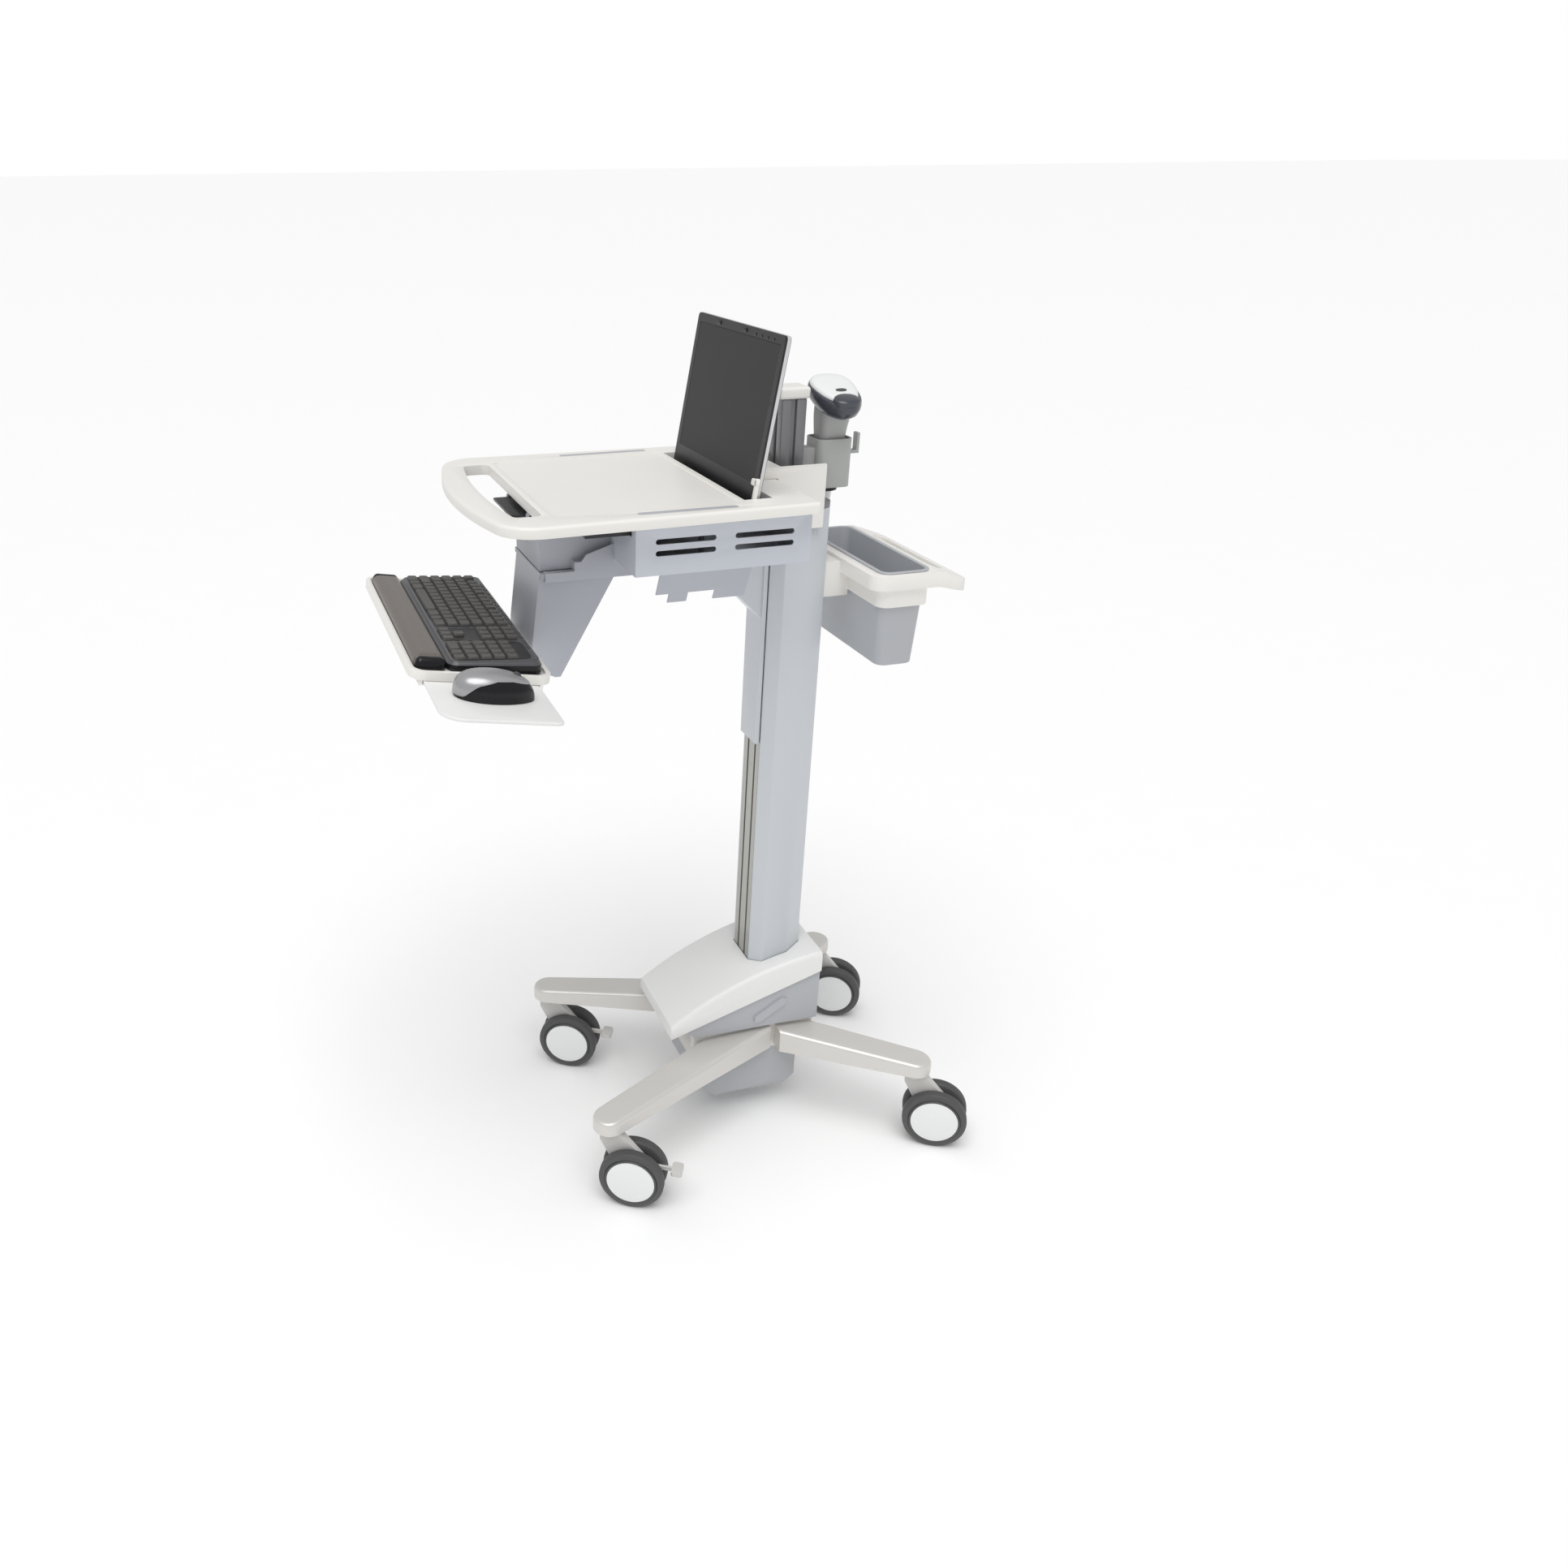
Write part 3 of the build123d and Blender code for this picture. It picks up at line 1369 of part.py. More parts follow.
grip_half_x = cup_half_x - cup_wall - grip_clearance
grip_half_y = cup_half_y - cup_wall - grip_clearance
head_turn = radians(scanner_head_turn)
head_tilt = radians(scanner_head_tilt)
head_rearward = Vector(sin(head_turn), cos(head_turn), 0)
head_normal = head_rearward * sin(head_tilt) + Vector(0, 0, cos(head_tilt))
grip_middle = Vector(column_x, column_y + scanner_y, scanner_head_z)
head_middle = grip_middle + head_rearward * scanner_head_setback
head_underside = Plane(
    origin=head_middle - head_normal * (scanner_head_height / 2),
    x_dir=(cos(head_turn), -sin(head_turn), 0),
    z_dir=head_normal,
)
with BuildPart() as scanner:
    with BuildSketch(head_underside):
        Ellipse(scanner_head_width / 2, scanner_head_length / 2)
    extrude(amount=scanner_head_height)
    fillet(scanner.edges().sort_by(Axis.Z)[-1], scanner_head_radius)
    with BuildSketch(level(grip_bottom)):
        with Locations((0, scanner_y)):
            RectangleRounded(grip_half_x * 2, grip_half_y * 2, cup_corner - cup_wall - grip_clearance)
    extrude(amount=grip_top - grip_bottom)
    with BuildSketch(level(trigger_z - trigger_height / 2 - trigger_clearance)):
        with Locations((-grip_half_x - trigger_seat_gap, scanner_y)):
            Rectangle(
                trigger_depth + trigger_stroke + trigger_seat_gap,
                trigger_width + trigger_clearance * 2,
                align=(Align.MIN, Align.CENTER),
            )
    extrude(amount=trigger_height + trigger_clearance * 2, mode=Mode.SUBTRACT)
write(scanner, "scanner")

with BuildPart() as scanner_trigger:
    with BuildSketch(level(trigger_z - trigger_height / 2)):
        with Locations((-grip_half_x - trigger_proud, scanner_y)):
            Rectangle(
                trigger_depth + trigger_proud - trigger_seat_gap * 2,
                trigger_width,
                align=(Align.MIN, Align.CENTER),
            )
    extrude(amount=trigger_height)
write(scanner_trigger, "scanner_trigger")

# ================================================================ supply bin
bin_middle_y = (bin_front_y + bin_rear_y) / 2
bin_depth = bin_rear_y - bin_front_y
bin_height = bin_top - bin_bottom
with BuildPart() as bin_tub:
    for inset, floor, mode in ((0, 0, Mode.ADD), (bin_wall, bin_wall, Mode.SUBTRACT)):
        with BuildSketch(level(bin_bottom + floor)):
            with Locations((0, bin_middle_y)):
                RectangleRounded(
                    (bin_half_width - bin_draft - inset) * 2,
                    bin_depth - (bin_draft + inset) * 2,
                    bin_corner - inset,
                )
        with BuildSketch(level(bin_top + bin_lip_thickness)):
            with Locations((0, bin_middle_y)):
                RectangleRounded(
                    (bin_half_width - inset) * 2, bin_depth - inset * 2, bin_corner - inset
                )
        loft(mode=mode)
        if mode == Mode.ADD:
            with BuildSketch(level(bin_top)):
                with Locations((0, bin_middle_y)):
                    RectangleRounded(
                        (bin_half_width + bin_lip) * 2, bin_depth + bin_lip * 2, bin_corner + bin_lip
                    )
            extrude(amount=bin_lip_thickness)
write(bin_tub, "bin_tub")

frame_depth = frame_rear_y - frame_front_y
with BuildPart() as bin_frame:
    with BuildSketch(level(bin_top - frame_height - frame_rear_drop)):
        with Locations((0, frame_front_y)):
            RectangleRounded(
                frame_half_width * 2, frame_depth, frame_corner, align=(Align.CENTER, Align.MIN)
            )
        with Locations((0, bin_middle_y)):
            RectangleRounded(
                (bin_half_width + bin_gap) * 2, bin_depth + bin_gap * 2, bin_corner,
                mode=Mode.SUBTRACT,
            )
        with Locations((0, (frame_handle_slot_front + frame_handle_slot_rear) / 2)):
            SlotOverall(
                frame_handle_slot_half * 2, frame_handle_slot_rear - frame_handle_slot_front,
                mode=Mode.SUBTRACT,
            )
    extrude(amount=frame_height + frame_rear_drop)
    with BuildSketch(side(0)):
        with BuildLine():
            Polyline(
                (frame_front_y - frame_corner, bin_top),
                (frame_slope_start, bin_top),
                (frame_rear_y + frame_corner, bin_top - frame_slope_drop),
                (frame_rear_y + frame_corner, bin_top - frame_slope_drop - frame_rear_height),
                (frame_slope_start, bin_top - frame_height),
                (frame_front_y - frame_corner, bin_top - frame_height),
                close=True,
            )
        make_face()
    extrude(amount=frame_half_width * 2, both=True, mode=Mode.INTERSECT)
    apron = bin_gap + frame_apron_wall
    with BuildSketch(level(bin_top - frame_height)):
        with Locations((0, bin_middle_y)):
            RectangleRounded(
                (bin_half_width + apron) * 2, bin_depth + apron * 2, bin_corner + frame_apron_wall
            )
            RectangleRounded(
                (bin_half_width + bin_gap) * 2, bin_depth + bin_gap * 2, bin_corner,
                mode=Mode.SUBTRACT,
            )
    extrude(amount=-frame_apron)
    with BuildSketch(level(bracket_bottom)):
        with Locations((0, column_rear_y)):
            Rectangle(
                bracket_half_width * 2,
                bin_front_y - apron + frame_apron_wall / 2 - column_rear_y,
                align=(Align.CENTER, Align.MIN),
            )
    extrude(amount=bracket_top - bracket_bottom)
write(bin_frame, "bin_frame")
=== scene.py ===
import json
from math import pi, radians

import bmesh
import bpy
import numpy as np
from mathutils import Matrix, Vector

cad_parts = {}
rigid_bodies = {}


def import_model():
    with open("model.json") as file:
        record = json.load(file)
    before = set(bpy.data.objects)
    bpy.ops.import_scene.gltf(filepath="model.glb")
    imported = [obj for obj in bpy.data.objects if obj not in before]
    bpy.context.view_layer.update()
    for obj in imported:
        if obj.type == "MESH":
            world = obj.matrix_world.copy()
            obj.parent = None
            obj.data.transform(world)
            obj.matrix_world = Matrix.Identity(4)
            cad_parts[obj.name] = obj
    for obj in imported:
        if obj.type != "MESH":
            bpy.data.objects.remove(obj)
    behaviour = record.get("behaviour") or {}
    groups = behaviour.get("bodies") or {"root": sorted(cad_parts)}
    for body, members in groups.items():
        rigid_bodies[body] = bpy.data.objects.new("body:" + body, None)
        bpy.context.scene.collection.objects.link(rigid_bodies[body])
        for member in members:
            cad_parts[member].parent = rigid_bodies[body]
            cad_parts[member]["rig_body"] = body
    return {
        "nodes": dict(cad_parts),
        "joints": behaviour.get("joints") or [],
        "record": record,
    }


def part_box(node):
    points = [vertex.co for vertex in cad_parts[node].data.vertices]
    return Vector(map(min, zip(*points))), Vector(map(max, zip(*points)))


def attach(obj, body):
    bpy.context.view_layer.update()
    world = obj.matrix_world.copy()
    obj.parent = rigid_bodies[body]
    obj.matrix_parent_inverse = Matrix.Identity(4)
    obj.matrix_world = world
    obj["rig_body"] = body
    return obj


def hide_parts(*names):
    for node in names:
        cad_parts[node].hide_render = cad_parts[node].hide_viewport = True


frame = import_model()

bl_info = {
    "name": "Medication cart looks",
    "version": (1, 0, 0),
    "blender": (4, 5, 0),
    "location": "3D View > Sidebar > Cart",
    "description": "Finishes, detailed pieces and a studio stage around the cart's CAD frame",
    "category": "Object",
}

CORNERS = ("front_right", "front_left", "rear_right", "rear_left")
SIDES = ("outer", "inner")
UP = np.array((0.0, 0.0, 1.0))
ACROSS = np.array((1.0, 0.0, 0.0))

# Key widths in units of the key pitch, front row first; a negative width is a gap.
MAIN_ROWS = ((1.5, 1, 1.5, 6, 1.5, 1, 1.5), (2.25, *(1,) * 10, 1.75), (1.75, *(1,) * 11, 1.25),
             (1.5, *(1,) * 11, 1.5), ((1,) * 12 + (2,)),
             (1, -0.5, 1, 1, 1, 1, -0.25, 1, 1, 1, 1, -0.25, 1, 1, 1, 1))
CLUSTER_ROWS = ((1, 1, 1), (-1, 1, -1), (-3,), (1, 1, 1), (1, 1, 1), (1, 1, 1))
NUMBER_ROWS = ((2, 1, 1), (1, 1, 1, 1), (1, 1, 1, 1), (1, 1, 1, 1), (1, 1, 1, 1), (-4,))
KEY_PITCH = 0.01905
KEY_GAP = 0.0026
KEY_HEIGHT = 0.0042
# Height and margin of the near-black plate under each block of keys: painted shade that darkens the gaps
# between keycaps.
SHADE_PLATE_HEIGHT, SHADE_PLATE_MARGIN = 0.0006, 0.001
BLOCK_GAP = 0.008
# Rise of the keyboard's top per unit of its depth.
KEY_SLOPE = 11 / 138
MEDIA_BUTTONS = 15
MEDIA_SHARE = 0.36
MEDIA_SETBACK = 0.010
MEDIA_HALF = (0.0075, 0.0026)
MEDIA_HEIGHT = 0.0012
CASE_CORNER = 0.016
PALM_END_HALF, PALM_END_CORNER = 0.010, 0.009
KEYS_SETBACK = 0.0014

# Nodes whose edges are rolled, by the bevel's width in metres.
EDGE_WIDTHS = {
    0.0045: ("worktop", "head_shroud", "tower_cap"),
    0.0030: ("keyboard_arm", "laptop_bay", "base_skirt", "base_tub", "bin_frame", "scanner_holder"),
    0.0018: ("slide_housing", "lift_carriage", "keyboard_tray", "mouse_shelf", "bin_tub", "lift_lever",
             "column", "base_hub", "accessory_tower", *(f"caster_fork_{corner}" for corner in CORNERS)),
    0.0012: ("cable_wings", "brake_pedal_front_right", "brake_pedal_front_left", "base_hood",
             "laptop_base"),
}
WELD = 1e-6
FLAT_ANGLE = radians(1.0)
EDGE_ANGLE = radians(40.0)
EDGE_SEGMENTS = 3

# Points round and up the mouse, and how far its foot clears the shelf.
MOUSE_AROUND, MOUSE_UP, MOUSE_CLEARANCE = 64, 26, 0.0004
# Gap between the mouse's two shells, the top shell's wall, and the scroll wheel's radius and half width.
MOUSE_SHELL_GAP, MOUSE_WALL = 0.0012, 0.0010
SCROLL_RADIUS, SCROLL_HALF, SCROLL_EDGE = 0.0072, 0.0034, 0.0012
# Lower edge of the top shell as a share of the height, against the sine of the angle round the mouse.
SHELL_EDGE = ((-1.0, -0.8, -0.5, 0.0, 0.5, 1.0), (0.03, 0.05, 0.36, 0.56, 0.56, 0.42))
# Corner radius of the scanner's grip, and the points round it.
GRIP_CORNER, GRIP_AROUND = 0.012, 48
# Black ring and white spigot under the scanner holder's cup.
RING_RADIUS, RING_HEIGHT, RING_BACK = 0.022, 0.006, 0.020
SPIGOT_RADIUS, SPIGOT_HEIGHT, SPIGOT_TAPER = 0.014, 0.030, 0.8

# Camera's axes as columns with its place in the last, and the shift of its frame.
CAMERA_PLACE = Matrix(((0.2701, -0.3985, 0.8765, 1.8426), (0.9628, 0.1203, -0.242, -0.7274),
                       (-0.009, 0.9093, 0.4161, 1.6579), (0, 0, 0, 1)))
CAMERA_SHIFT = (0.1377, -0.016)
# Direction that the overhead light comes from.
LIGHT_FROM = Vector((0.9, -0.5, 2.6))
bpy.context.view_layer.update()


# ------------------------------------------------------------------ settings

def colour(name, description, default):
    """A colour property with the name, words and default given."""
    return bpy.props.FloatVectorProperty(name=name, description=description, default=default,
                                         subtype="COLOR", size=4, min=0.0, max=1.0)


def length(name, description, default):
    """A length property in metres."""
    return bpy.props.FloatProperty(name=name, description=description, default=default, unit="LENGTH")


def share(name, description, default):
    """A property between nought and one."""
    return bpy.props.FloatProperty(name=name, description=description, default=default,
                                   min=0.0, max=1.0, subtype="FACTOR")


class CartFinishes(bpy.types.PropertyGroup):
    """Base colours of the cart's finishes."""
    white: colour("White plastic", "Worktop, tray, shroud and bin frame", (0.86, 0.84, 0.80, 1))
    cap_white: colour("Cap white", "Wheel covers and scanner shell", (0.84, 0.85, 0.85, 1))
    fork: colour("Fork white", "Caster forks and brake pedals", (0.62, 0.61, 0.59, 1))
    hood: colour("Hood white", "Base hood and mouse shelf", (0.83, 0.83, 0.82, 1))
    paint: colour("Column paint", "Powder coat on the column", (0.60, 0.63, 0.66, 1))
    head_paint: colour("Head paint", "Powder coat on the keyboard arm", (0.45, 0.465, 0.515, 1))
    bay: colour("Bay paint", "Powder coat on the laptop bay", (0.58, 0.61, 0.67, 1))
    body: colour("Grey plastic", "Bin tub, skirt and lower tub", (0.45, 0.465, 0.49, 1))
    cast: colour("Cast aluminium", "Legs and hub", (0.70, 0.68, 0.65, 1))
    rail: colour("Anodised rail", "Channel cover and rail", (0.42, 0.42, 0.39, 1))
    tower: colour("Anodised tower", "Slotted accessory tower", (0.22, 0.22, 0.23, 1))
    holder: colour("Holder grey", "Scanner holder and grip", (0.42, 0.43, 0.42, 1))
    # The near-black tone also colours the plates under the keys, which are painted shade in the gaps between
    # keycaps.
    dark: colour("Black plastic", "Laptop, key wells and gloss pieces", (0.010, 0.010, 0.012, 1))
    key: colour("Key grey", "Keycaps", (0.085, 0.082, 0.078, 1))
    case: colour("Case grey", "Keyboard case", (0.085, 0.086, 0.092, 1))
    palm: colour("Palm rest", "Moulded palm rest", (0.150, 0.132, 0.118, 1))
    nose: colour("Scanner slate", "Scanner head's surround", (0.050, 0.055, 0.070, 1))
    lid: colour("Lid silver", "Laptop's back shell", (0.66, 0.66, 0.68, 1))
    tyre: colour("Tyre grey", "Soft grey tread", (0.070, 0.070, 0.072, 1))
    screen: colour("Screen", "Unlit display", (0.045, 0.043, 0.044, 1))
    silver: colour("Silver shell", "Mouse top", (0.42, 0.42, 0.43, 1))


class CartSizes(bpy.types.PropertyGroup):
    """Sizes of the detailed pieces that the CAD frame doesn't give."""
    tyre_crown: length("Tyre crown", "Rounding of the tread's shoulders", 0.0052)
    axle_bore: length("Axle bore", "Bore over the axle spigot", 0.0101)
    cover_share: share("Wheel cover", "White cover's radius as a share of the wheel's", 0.74)
    lid_lean: bpy.props.FloatProperty(name="Lid lean", description="Lean of the laptop lid at rest",
                                      default=radians(9.2), unit="ROTATION")
    lid_foot: length("Lid foot", "Bottom edge of the lid over its hinge", 0.008)
    lid_thickness: length("Lid thickness", "Front bezel to back shell", 0.009)
    screen_foot: length("Screen foot", "Bezel under the display", 0.034)
    screen_edge: length("Screen edge", "Bezel at the sides and top of the display", 0.013)
    scanner_turn: bpy.props.FloatProperty(name="Scanner turn", default=radians(90.0), unit="ROTATION",
                                          description="Turn of the head about the grip")
    scanner_tilt: bpy.props.FloatProperty(name="Scanner tilt", default=radians(18.0), unit="ROTATION",
                                          description="Window end up")
    scanner_head_length: length("Head length", "Window to rear of the scanner's head", 0.112)
    scanner_head_width: length("Head width", "Across the scanner's head", 0.072)
    scanner_head_height: length("Head height", "Underside to crown of the scanner's head", 0.036)
    scanner_head_setback: length("Head setback", "Head's middle behind the grip's", 0.011)
    scanner_head_lift: length("Head lift", "Head's middle over the trigger's top", 0.040)
    scanner_grip_setback: length("Grip setback", "Grip's middle behind the trigger's face", 0.027)
    grip_half_x: length("Grip half width", "Half the grip across", 0.023)
    grip_half_y: length("Grip half depth", "Half the grip front to back", 0.026)
    cup_floor: length("Cup floor", "Floor of the scanner holder", 0.004)


class CartStage(bpy.types.PropertyGroup):
    """Floor, light and camera."""
    floor: colour("Floor", "Plain pale floor", (0.98, 0.98, 0.98, 1))
    sky: colour("Surround", "Even studio surround", (1.0, 1.0, 1.0, 1))
    sky_strength: bpy.props.FloatProperty(name="Surround strength", description="Even light", default=0.50)
    sun_strength: bpy.props.FloatProperty(name="Overhead strength", description="Wide soft overhead light",
                                          default=1.85)
    sun_spread: bpy.props.FloatProperty(name="Overhead spread", description="Width of the overhead light",
                                        default=radians(50.0), unit="ROTATION")
    floor_size: length("Floor size", "Side of the square floor", 400.0)
    lens: bpy.props.FloatProperty(name="Lens", description="Focal length", default=30.19,
                                  unit="CAMERA")


# ------------------------------------------------------------------ node helpers

def add_node(tree, kind, place, **inputs):
    """A node of this kind in the tree, with socket values by name."""
    node = tree.nodes.new(kind)
    node.location = place
    for name, value in inputs.items():
        node.inputs[name.replace("_", " ")].default_value = value
    return node


def add_math(tree, operation, place, *sources):
    """The output of a Math node whose sockets take the sources in order: links, or plain numbers."""
    node = add_node(tree, "ShaderNodeMath", place)
    node.operation = operation
    for socket, source in zip(node.inputs, sources):
        if isinstance(source, float):
            socket.default_value = source
        else:
            tree.links.new(source, socket)
    return node.outputs["Value"]


def start_group(name, inputs, outputs):
    """An empty shader group with the sockets named, and its input and output nodes."""
    group = bpy.data.node_groups.new(name, "ShaderNodeTree")
    for socket, kind, default in inputs:
        made = group.interface.new_socket(socket, in_out="INPUT", socket_type=kind)
        made.default_value = default
    for socket, kind in outputs:
        group.interface.new_socket(socket, in_out="OUTPUT", socket_type=kind)
    entry = add_node(group, "NodeGroupInput", (-1200, 0))
    leave = add_node(group, "NodeGroupOutput", (900, 0))
    return group, entry, leave


def surface_group():
    """Grain, mottling, scuffs and floor dust for any hard finish.

    Fine noise gives the grain's height, broad noise shifts colour and roughness, thresholded stretched
    noise gives scuffs, and dust fades out with height above the floor.
    """
    group, entry, leave = start_group(
        "hard_surface",
        (("Color", "NodeSocketColor", (0.8, 0.8, 0.8, 1)), ("Mottle", "NodeSocketFloat", 0.04),
         ("Roughness", "NodeSocketFloat", 0.45), ("Spread", "NodeSocketFloat", 0.08),
         ("Grain Scale", "NodeSocketFloat", 900.0), ("Grain Depth", "NodeSocketFloat", 0.06),
         ("Scuffs", "NodeSocketFloat", 0.15), ("Dust", "NodeSocketFloat", 0.1),
         ("Dust Height", "NodeSocketFloat", 0.25)),
        (("Color", "NodeSocketColor"), ("Roughness", "NodeSocketFloat"), ("Normal", "NodeSocketVector")))
    join = group.links.new
    place = add_node(group, "ShaderNodeTexCoord", (-1200, -300))
    grain = add_node(group, "ShaderNodeTexNoise", (-900, -400), Detail=3.0, Roughness=0.6)
    join(place.outputs["Object"], grain.inputs["Vector"])
    join(entry.outputs["Grain Scale"], grain.inputs["Scale"])
    broad = add_node(group, "ShaderNodeTexNoise", (-900, 100), Scale=7.0, Detail=5.0, Roughness=0.65)
    join(place.outputs["Object"], broad.inputs["Vector"])
    streaks = add_node(group, "ShaderNodeMapping", (-1000, -700), Scale=(38.0, 260.0, 60.0),
                       Rotation=(0.3, 0.2, 0.7))
    join(place.outputs["Object"], streaks.inputs["Vector"])
    marks = add_node(group, "ShaderNodeTexNoise", (-800, -700), Scale=1.0, Detail=2.0, Roughness=0.7)
    join(streaks.outputs["Vector"], marks.inputs["Vector"])
    few = add_node(group, "ShaderNodeMapRange", (-600, -700), From_Min=0.66, From_Max=0.74)
    join(marks.outputs["Fac"], few.inputs["Value"])
    scuff = add_math(group, "MULTIPLY", (-400, -700), few.outputs["Result"], entry.outputs["Scuffs"])
    heights = add_node(group, "ShaderNodeSeparateXYZ", (-900, 400))
    join(place.outputs["Object"], heights.inputs["Vector"])
    low = add_node(group, "ShaderNodeMapRange", (-700, 400), From_Min=0.0, To_Min=1.0, To_Max=0.0)
    join(heights.outputs["Z"], low.inputs["Value"])
    join(entry.outputs["Dust Height"], low.inputs["From Max"])
    dust = add_math(group, "MULTIPLY", (-500, 400), low.outputs["Result"], entry.outputs["Dust"])
    patchy = add_math(group, "MULTIPLY", (-300, 400), dust, broad.outputs["Fac"])
    centred = add_math(group, "SUBTRACT", (-600, 100), broad.outputs["Fac"], 0.5)
    shift = add_math(group, "MULTIPLY_ADD", (-400, 150), centred, entry.outputs["Mottle"], 1.0)
    tint = add_node(group, "ShaderNodeVectorMath", (-150, 150))
    tint.operation = "SCALE"
    join(entry.outputs["Color"], tint.inputs[0])
    join(shift, tint.inputs["Scale"])
    dusty = add_node(group, "ShaderNodeMix", (100, 200))
    dusty.data_type = "RGBA"
    dusty.inputs["B"].default_value = (0.30, 0.28, 0.25, 1)
    join(patchy, dusty.inputs["Factor"])
    join(tint.outputs["Vector"], dusty.inputs["A"])
    join(dusty.outputs["Result"], leave.inputs["Color"])
    rough = add_math(group, "MULTIPLY_ADD", (-150, -100), centred, entry.outputs["Spread"],
                     entry.outputs["Roughness"])
    rougher = add_math(group, "ADD", (100, -100), rough, scuff)
    rougher.node.use_clamp = True
    join(rougher, leave.inputs["Roughness"])
    relief = add_math(group, "SUBTRACT", (-150, -400), grain.outputs["Fac"], scuff)
    bump = add_node(group, "ShaderNodeBump", (200, -400), Distance=0.0004)
    join(entry.outputs["Grain Depth"], bump.inputs["Strength"])
    join(relief, bump.inputs["Height"])
    join(bump.outputs["Normal"], leave.inputs["Normal"])
    return group


def finish_material(name, tone, **values):
    """A Principled material fed by the hard_surface group, with its own values.

    Keys that name group sockets go to the group; metallic, specular and the like go to the shader. The
    frame's plain material of the same name is renamed first, so that the name finds this one.
    """
    group = bpy.data.node_groups.get("hard_surface") or surface_group()
    plain = bpy.data.materials.get(name)
    if plain:
        plain.name = "plain_" + name
    material = bpy.data.materials.new(name)
    material.use_nodes = True
    tree = material.node_tree
    shader = tree.nodes["Principled BSDF"]
    surface = add_node(tree, "ShaderNodeGroup", (-400, 200))
    surface.node_tree = group
    surface.inputs["Color"].default_value = tuple(tone)
    for key, value in values.items():
        socket = key.replace("_", " ").title().replace("Ior", "IOR")
        target = surface if socket in surface.inputs else shader
        target.inputs[socket].default_value = value
    for socket, goal in (("Color", "Base Color"), ("Roughness", "Roughness"), ("Normal", "Normal")):
        tree.links.new(surface.outputs[socket], shader.inputs[goal])
    return material


FINISHES = {
    "white_plastic": ("white", dict(roughness=0.38, grain_scale=1400.0, grain_depth=0.05, scuffs=0.14)),
    "pale_paint": ("paint", dict(roughness=0.36, grain_scale=520.0, grain_depth=0.10, scuffs=0.12)),
    "head_grey": ("head_paint", dict(roughness=0.40, grain_scale=520.0, grain_depth=0.12, scuffs=0.15)),
    "body_grey": ("body", dict(roughness=0.46, grain_scale=900.0, grain_depth=0.14, scuffs=0.16,
                               dust=0.15)),
    "cast_legs": ("cast", dict(roughness=0.34, metallic=0.30, grain_scale=700.0, grain_depth=0.12,
                               scuffs=0.2, dust=0.12, dust_height=0.3)),
    "rail_grey": ("rail", dict(roughness=0.32, metallic=0.6, grain_scale=1100.0, grain_depth=0.05)),
    "ballast_iron": ("dark", dict(roughness=0.7, grain_scale=300.0, grain_depth=0.4)),
    "steel": ("cast", dict(roughness=0.25, metallic=1.0, grain_scale=1500.0, grain_depth=0.04)),
    "caster_housing": ("fork", dict(roughness=0.42, grain_scale=900.0, grain_depth=0.08, dust=0.2,
                                    dust_height=0.14)),
    "wheel_cover": ("cap_white", dict(roughness=0.22, grain_scale=1300.0, grain_depth=0.02, dust=0.1,
                                      dust_height=0.1)),
    "tyre_rubber": ("tyre", dict(roughness=0.62, grain_scale=800.0, grain_depth=0.3, dust=0.2,
                                 dust_height=0.12, mottle=0.15)),
    "dark_plastic": ("dark", dict(roughness=0.40, grain_scale=1300.0, grain_depth=0.10, mottle=0.2)),
    "mouse_shell": ("silver", dict(roughness=0.28, metallic=0.5, grain_scale=1800.0, grain_depth=0.03)),
    "scanner_shell": ("cap_white", dict(roughness=0.35, grain_scale=1200.0, grain_depth=0.05)),
    "trigger_grey": ("tyre", dict(roughness=0.5, grain_scale=1000.0, grain_depth=0.1)),
}
EXTRA_FINISHES = {
    "rim_slate": ("tyre", dict(roughness=0.45, grain_scale=1000.0, grain_depth=0.08, dust=0.1,
                               dust_height=0.12)),
    "case_grey": ("case", dict(roughness=0.30, grain_scale=1600.0, grain_depth=0.05, mottle=0.1)),
    "key_grey": ("key", dict(roughness=0.48, grain_scale=1800.0, grain_depth=0.08, mottle=0.25)),
    "palm_grey": ("palm", dict(roughness=0.34, grain_scale=700.0, grain_depth=0.12, mottle=0.15)),
    "gloss_black": ("dark", dict(roughness=0.22, specular_ior_level=0.3, grain_scale=900.0,
                                 grain_depth=0.02)),
    "gloss_slate": ("nose", dict(roughness=0.25, grain_scale=900.0, grain_depth=0.03, coat_weight=0.3)),
    "screen_glass": ("screen", dict(roughness=0.55, specular_ior_level=0.2, grain_scale=2500.0,
                                    grain_depth=0.02, scuffs=0.05)),
    "hood_white": ("hood", dict(roughness=0.40, grain_scale=1200.0, grain_depth=0.06, scuffs=0.14)),
    "bay_grey": ("bay", dict(roughness=0.40, grain_scale=520.0, grain_depth=0.12, scuffs=0.15)),
    "tower_grey": ("tower", dict(roughness=0.35, metallic=0.4, grain_scale=1100.0, grain_depth=0.05)),
    "holder_grey": ("holder", dict(roughness=0.40, grain_scale=1200.0, grain_depth=0.06)),
    "lid_silver": ("lid", dict(roughness=0.32, metallic=0.3, grain_scale=1600.0, grain_depth=0.04)),
}

# Nodes whose finish is a shade of their slot's.
NODE_FINISHES = {"base_hood": "hood_white", "mouse_shelf": "hood_white", "laptop_bay": "bay_grey",
                 "accessory_tower": "tower_grey", "scanner_holder": "holder_grey"}


def finish_of(node, slot):
    """The finish's name for a node of this slot."""
    return NODE_FINISHES.get(node, slot)


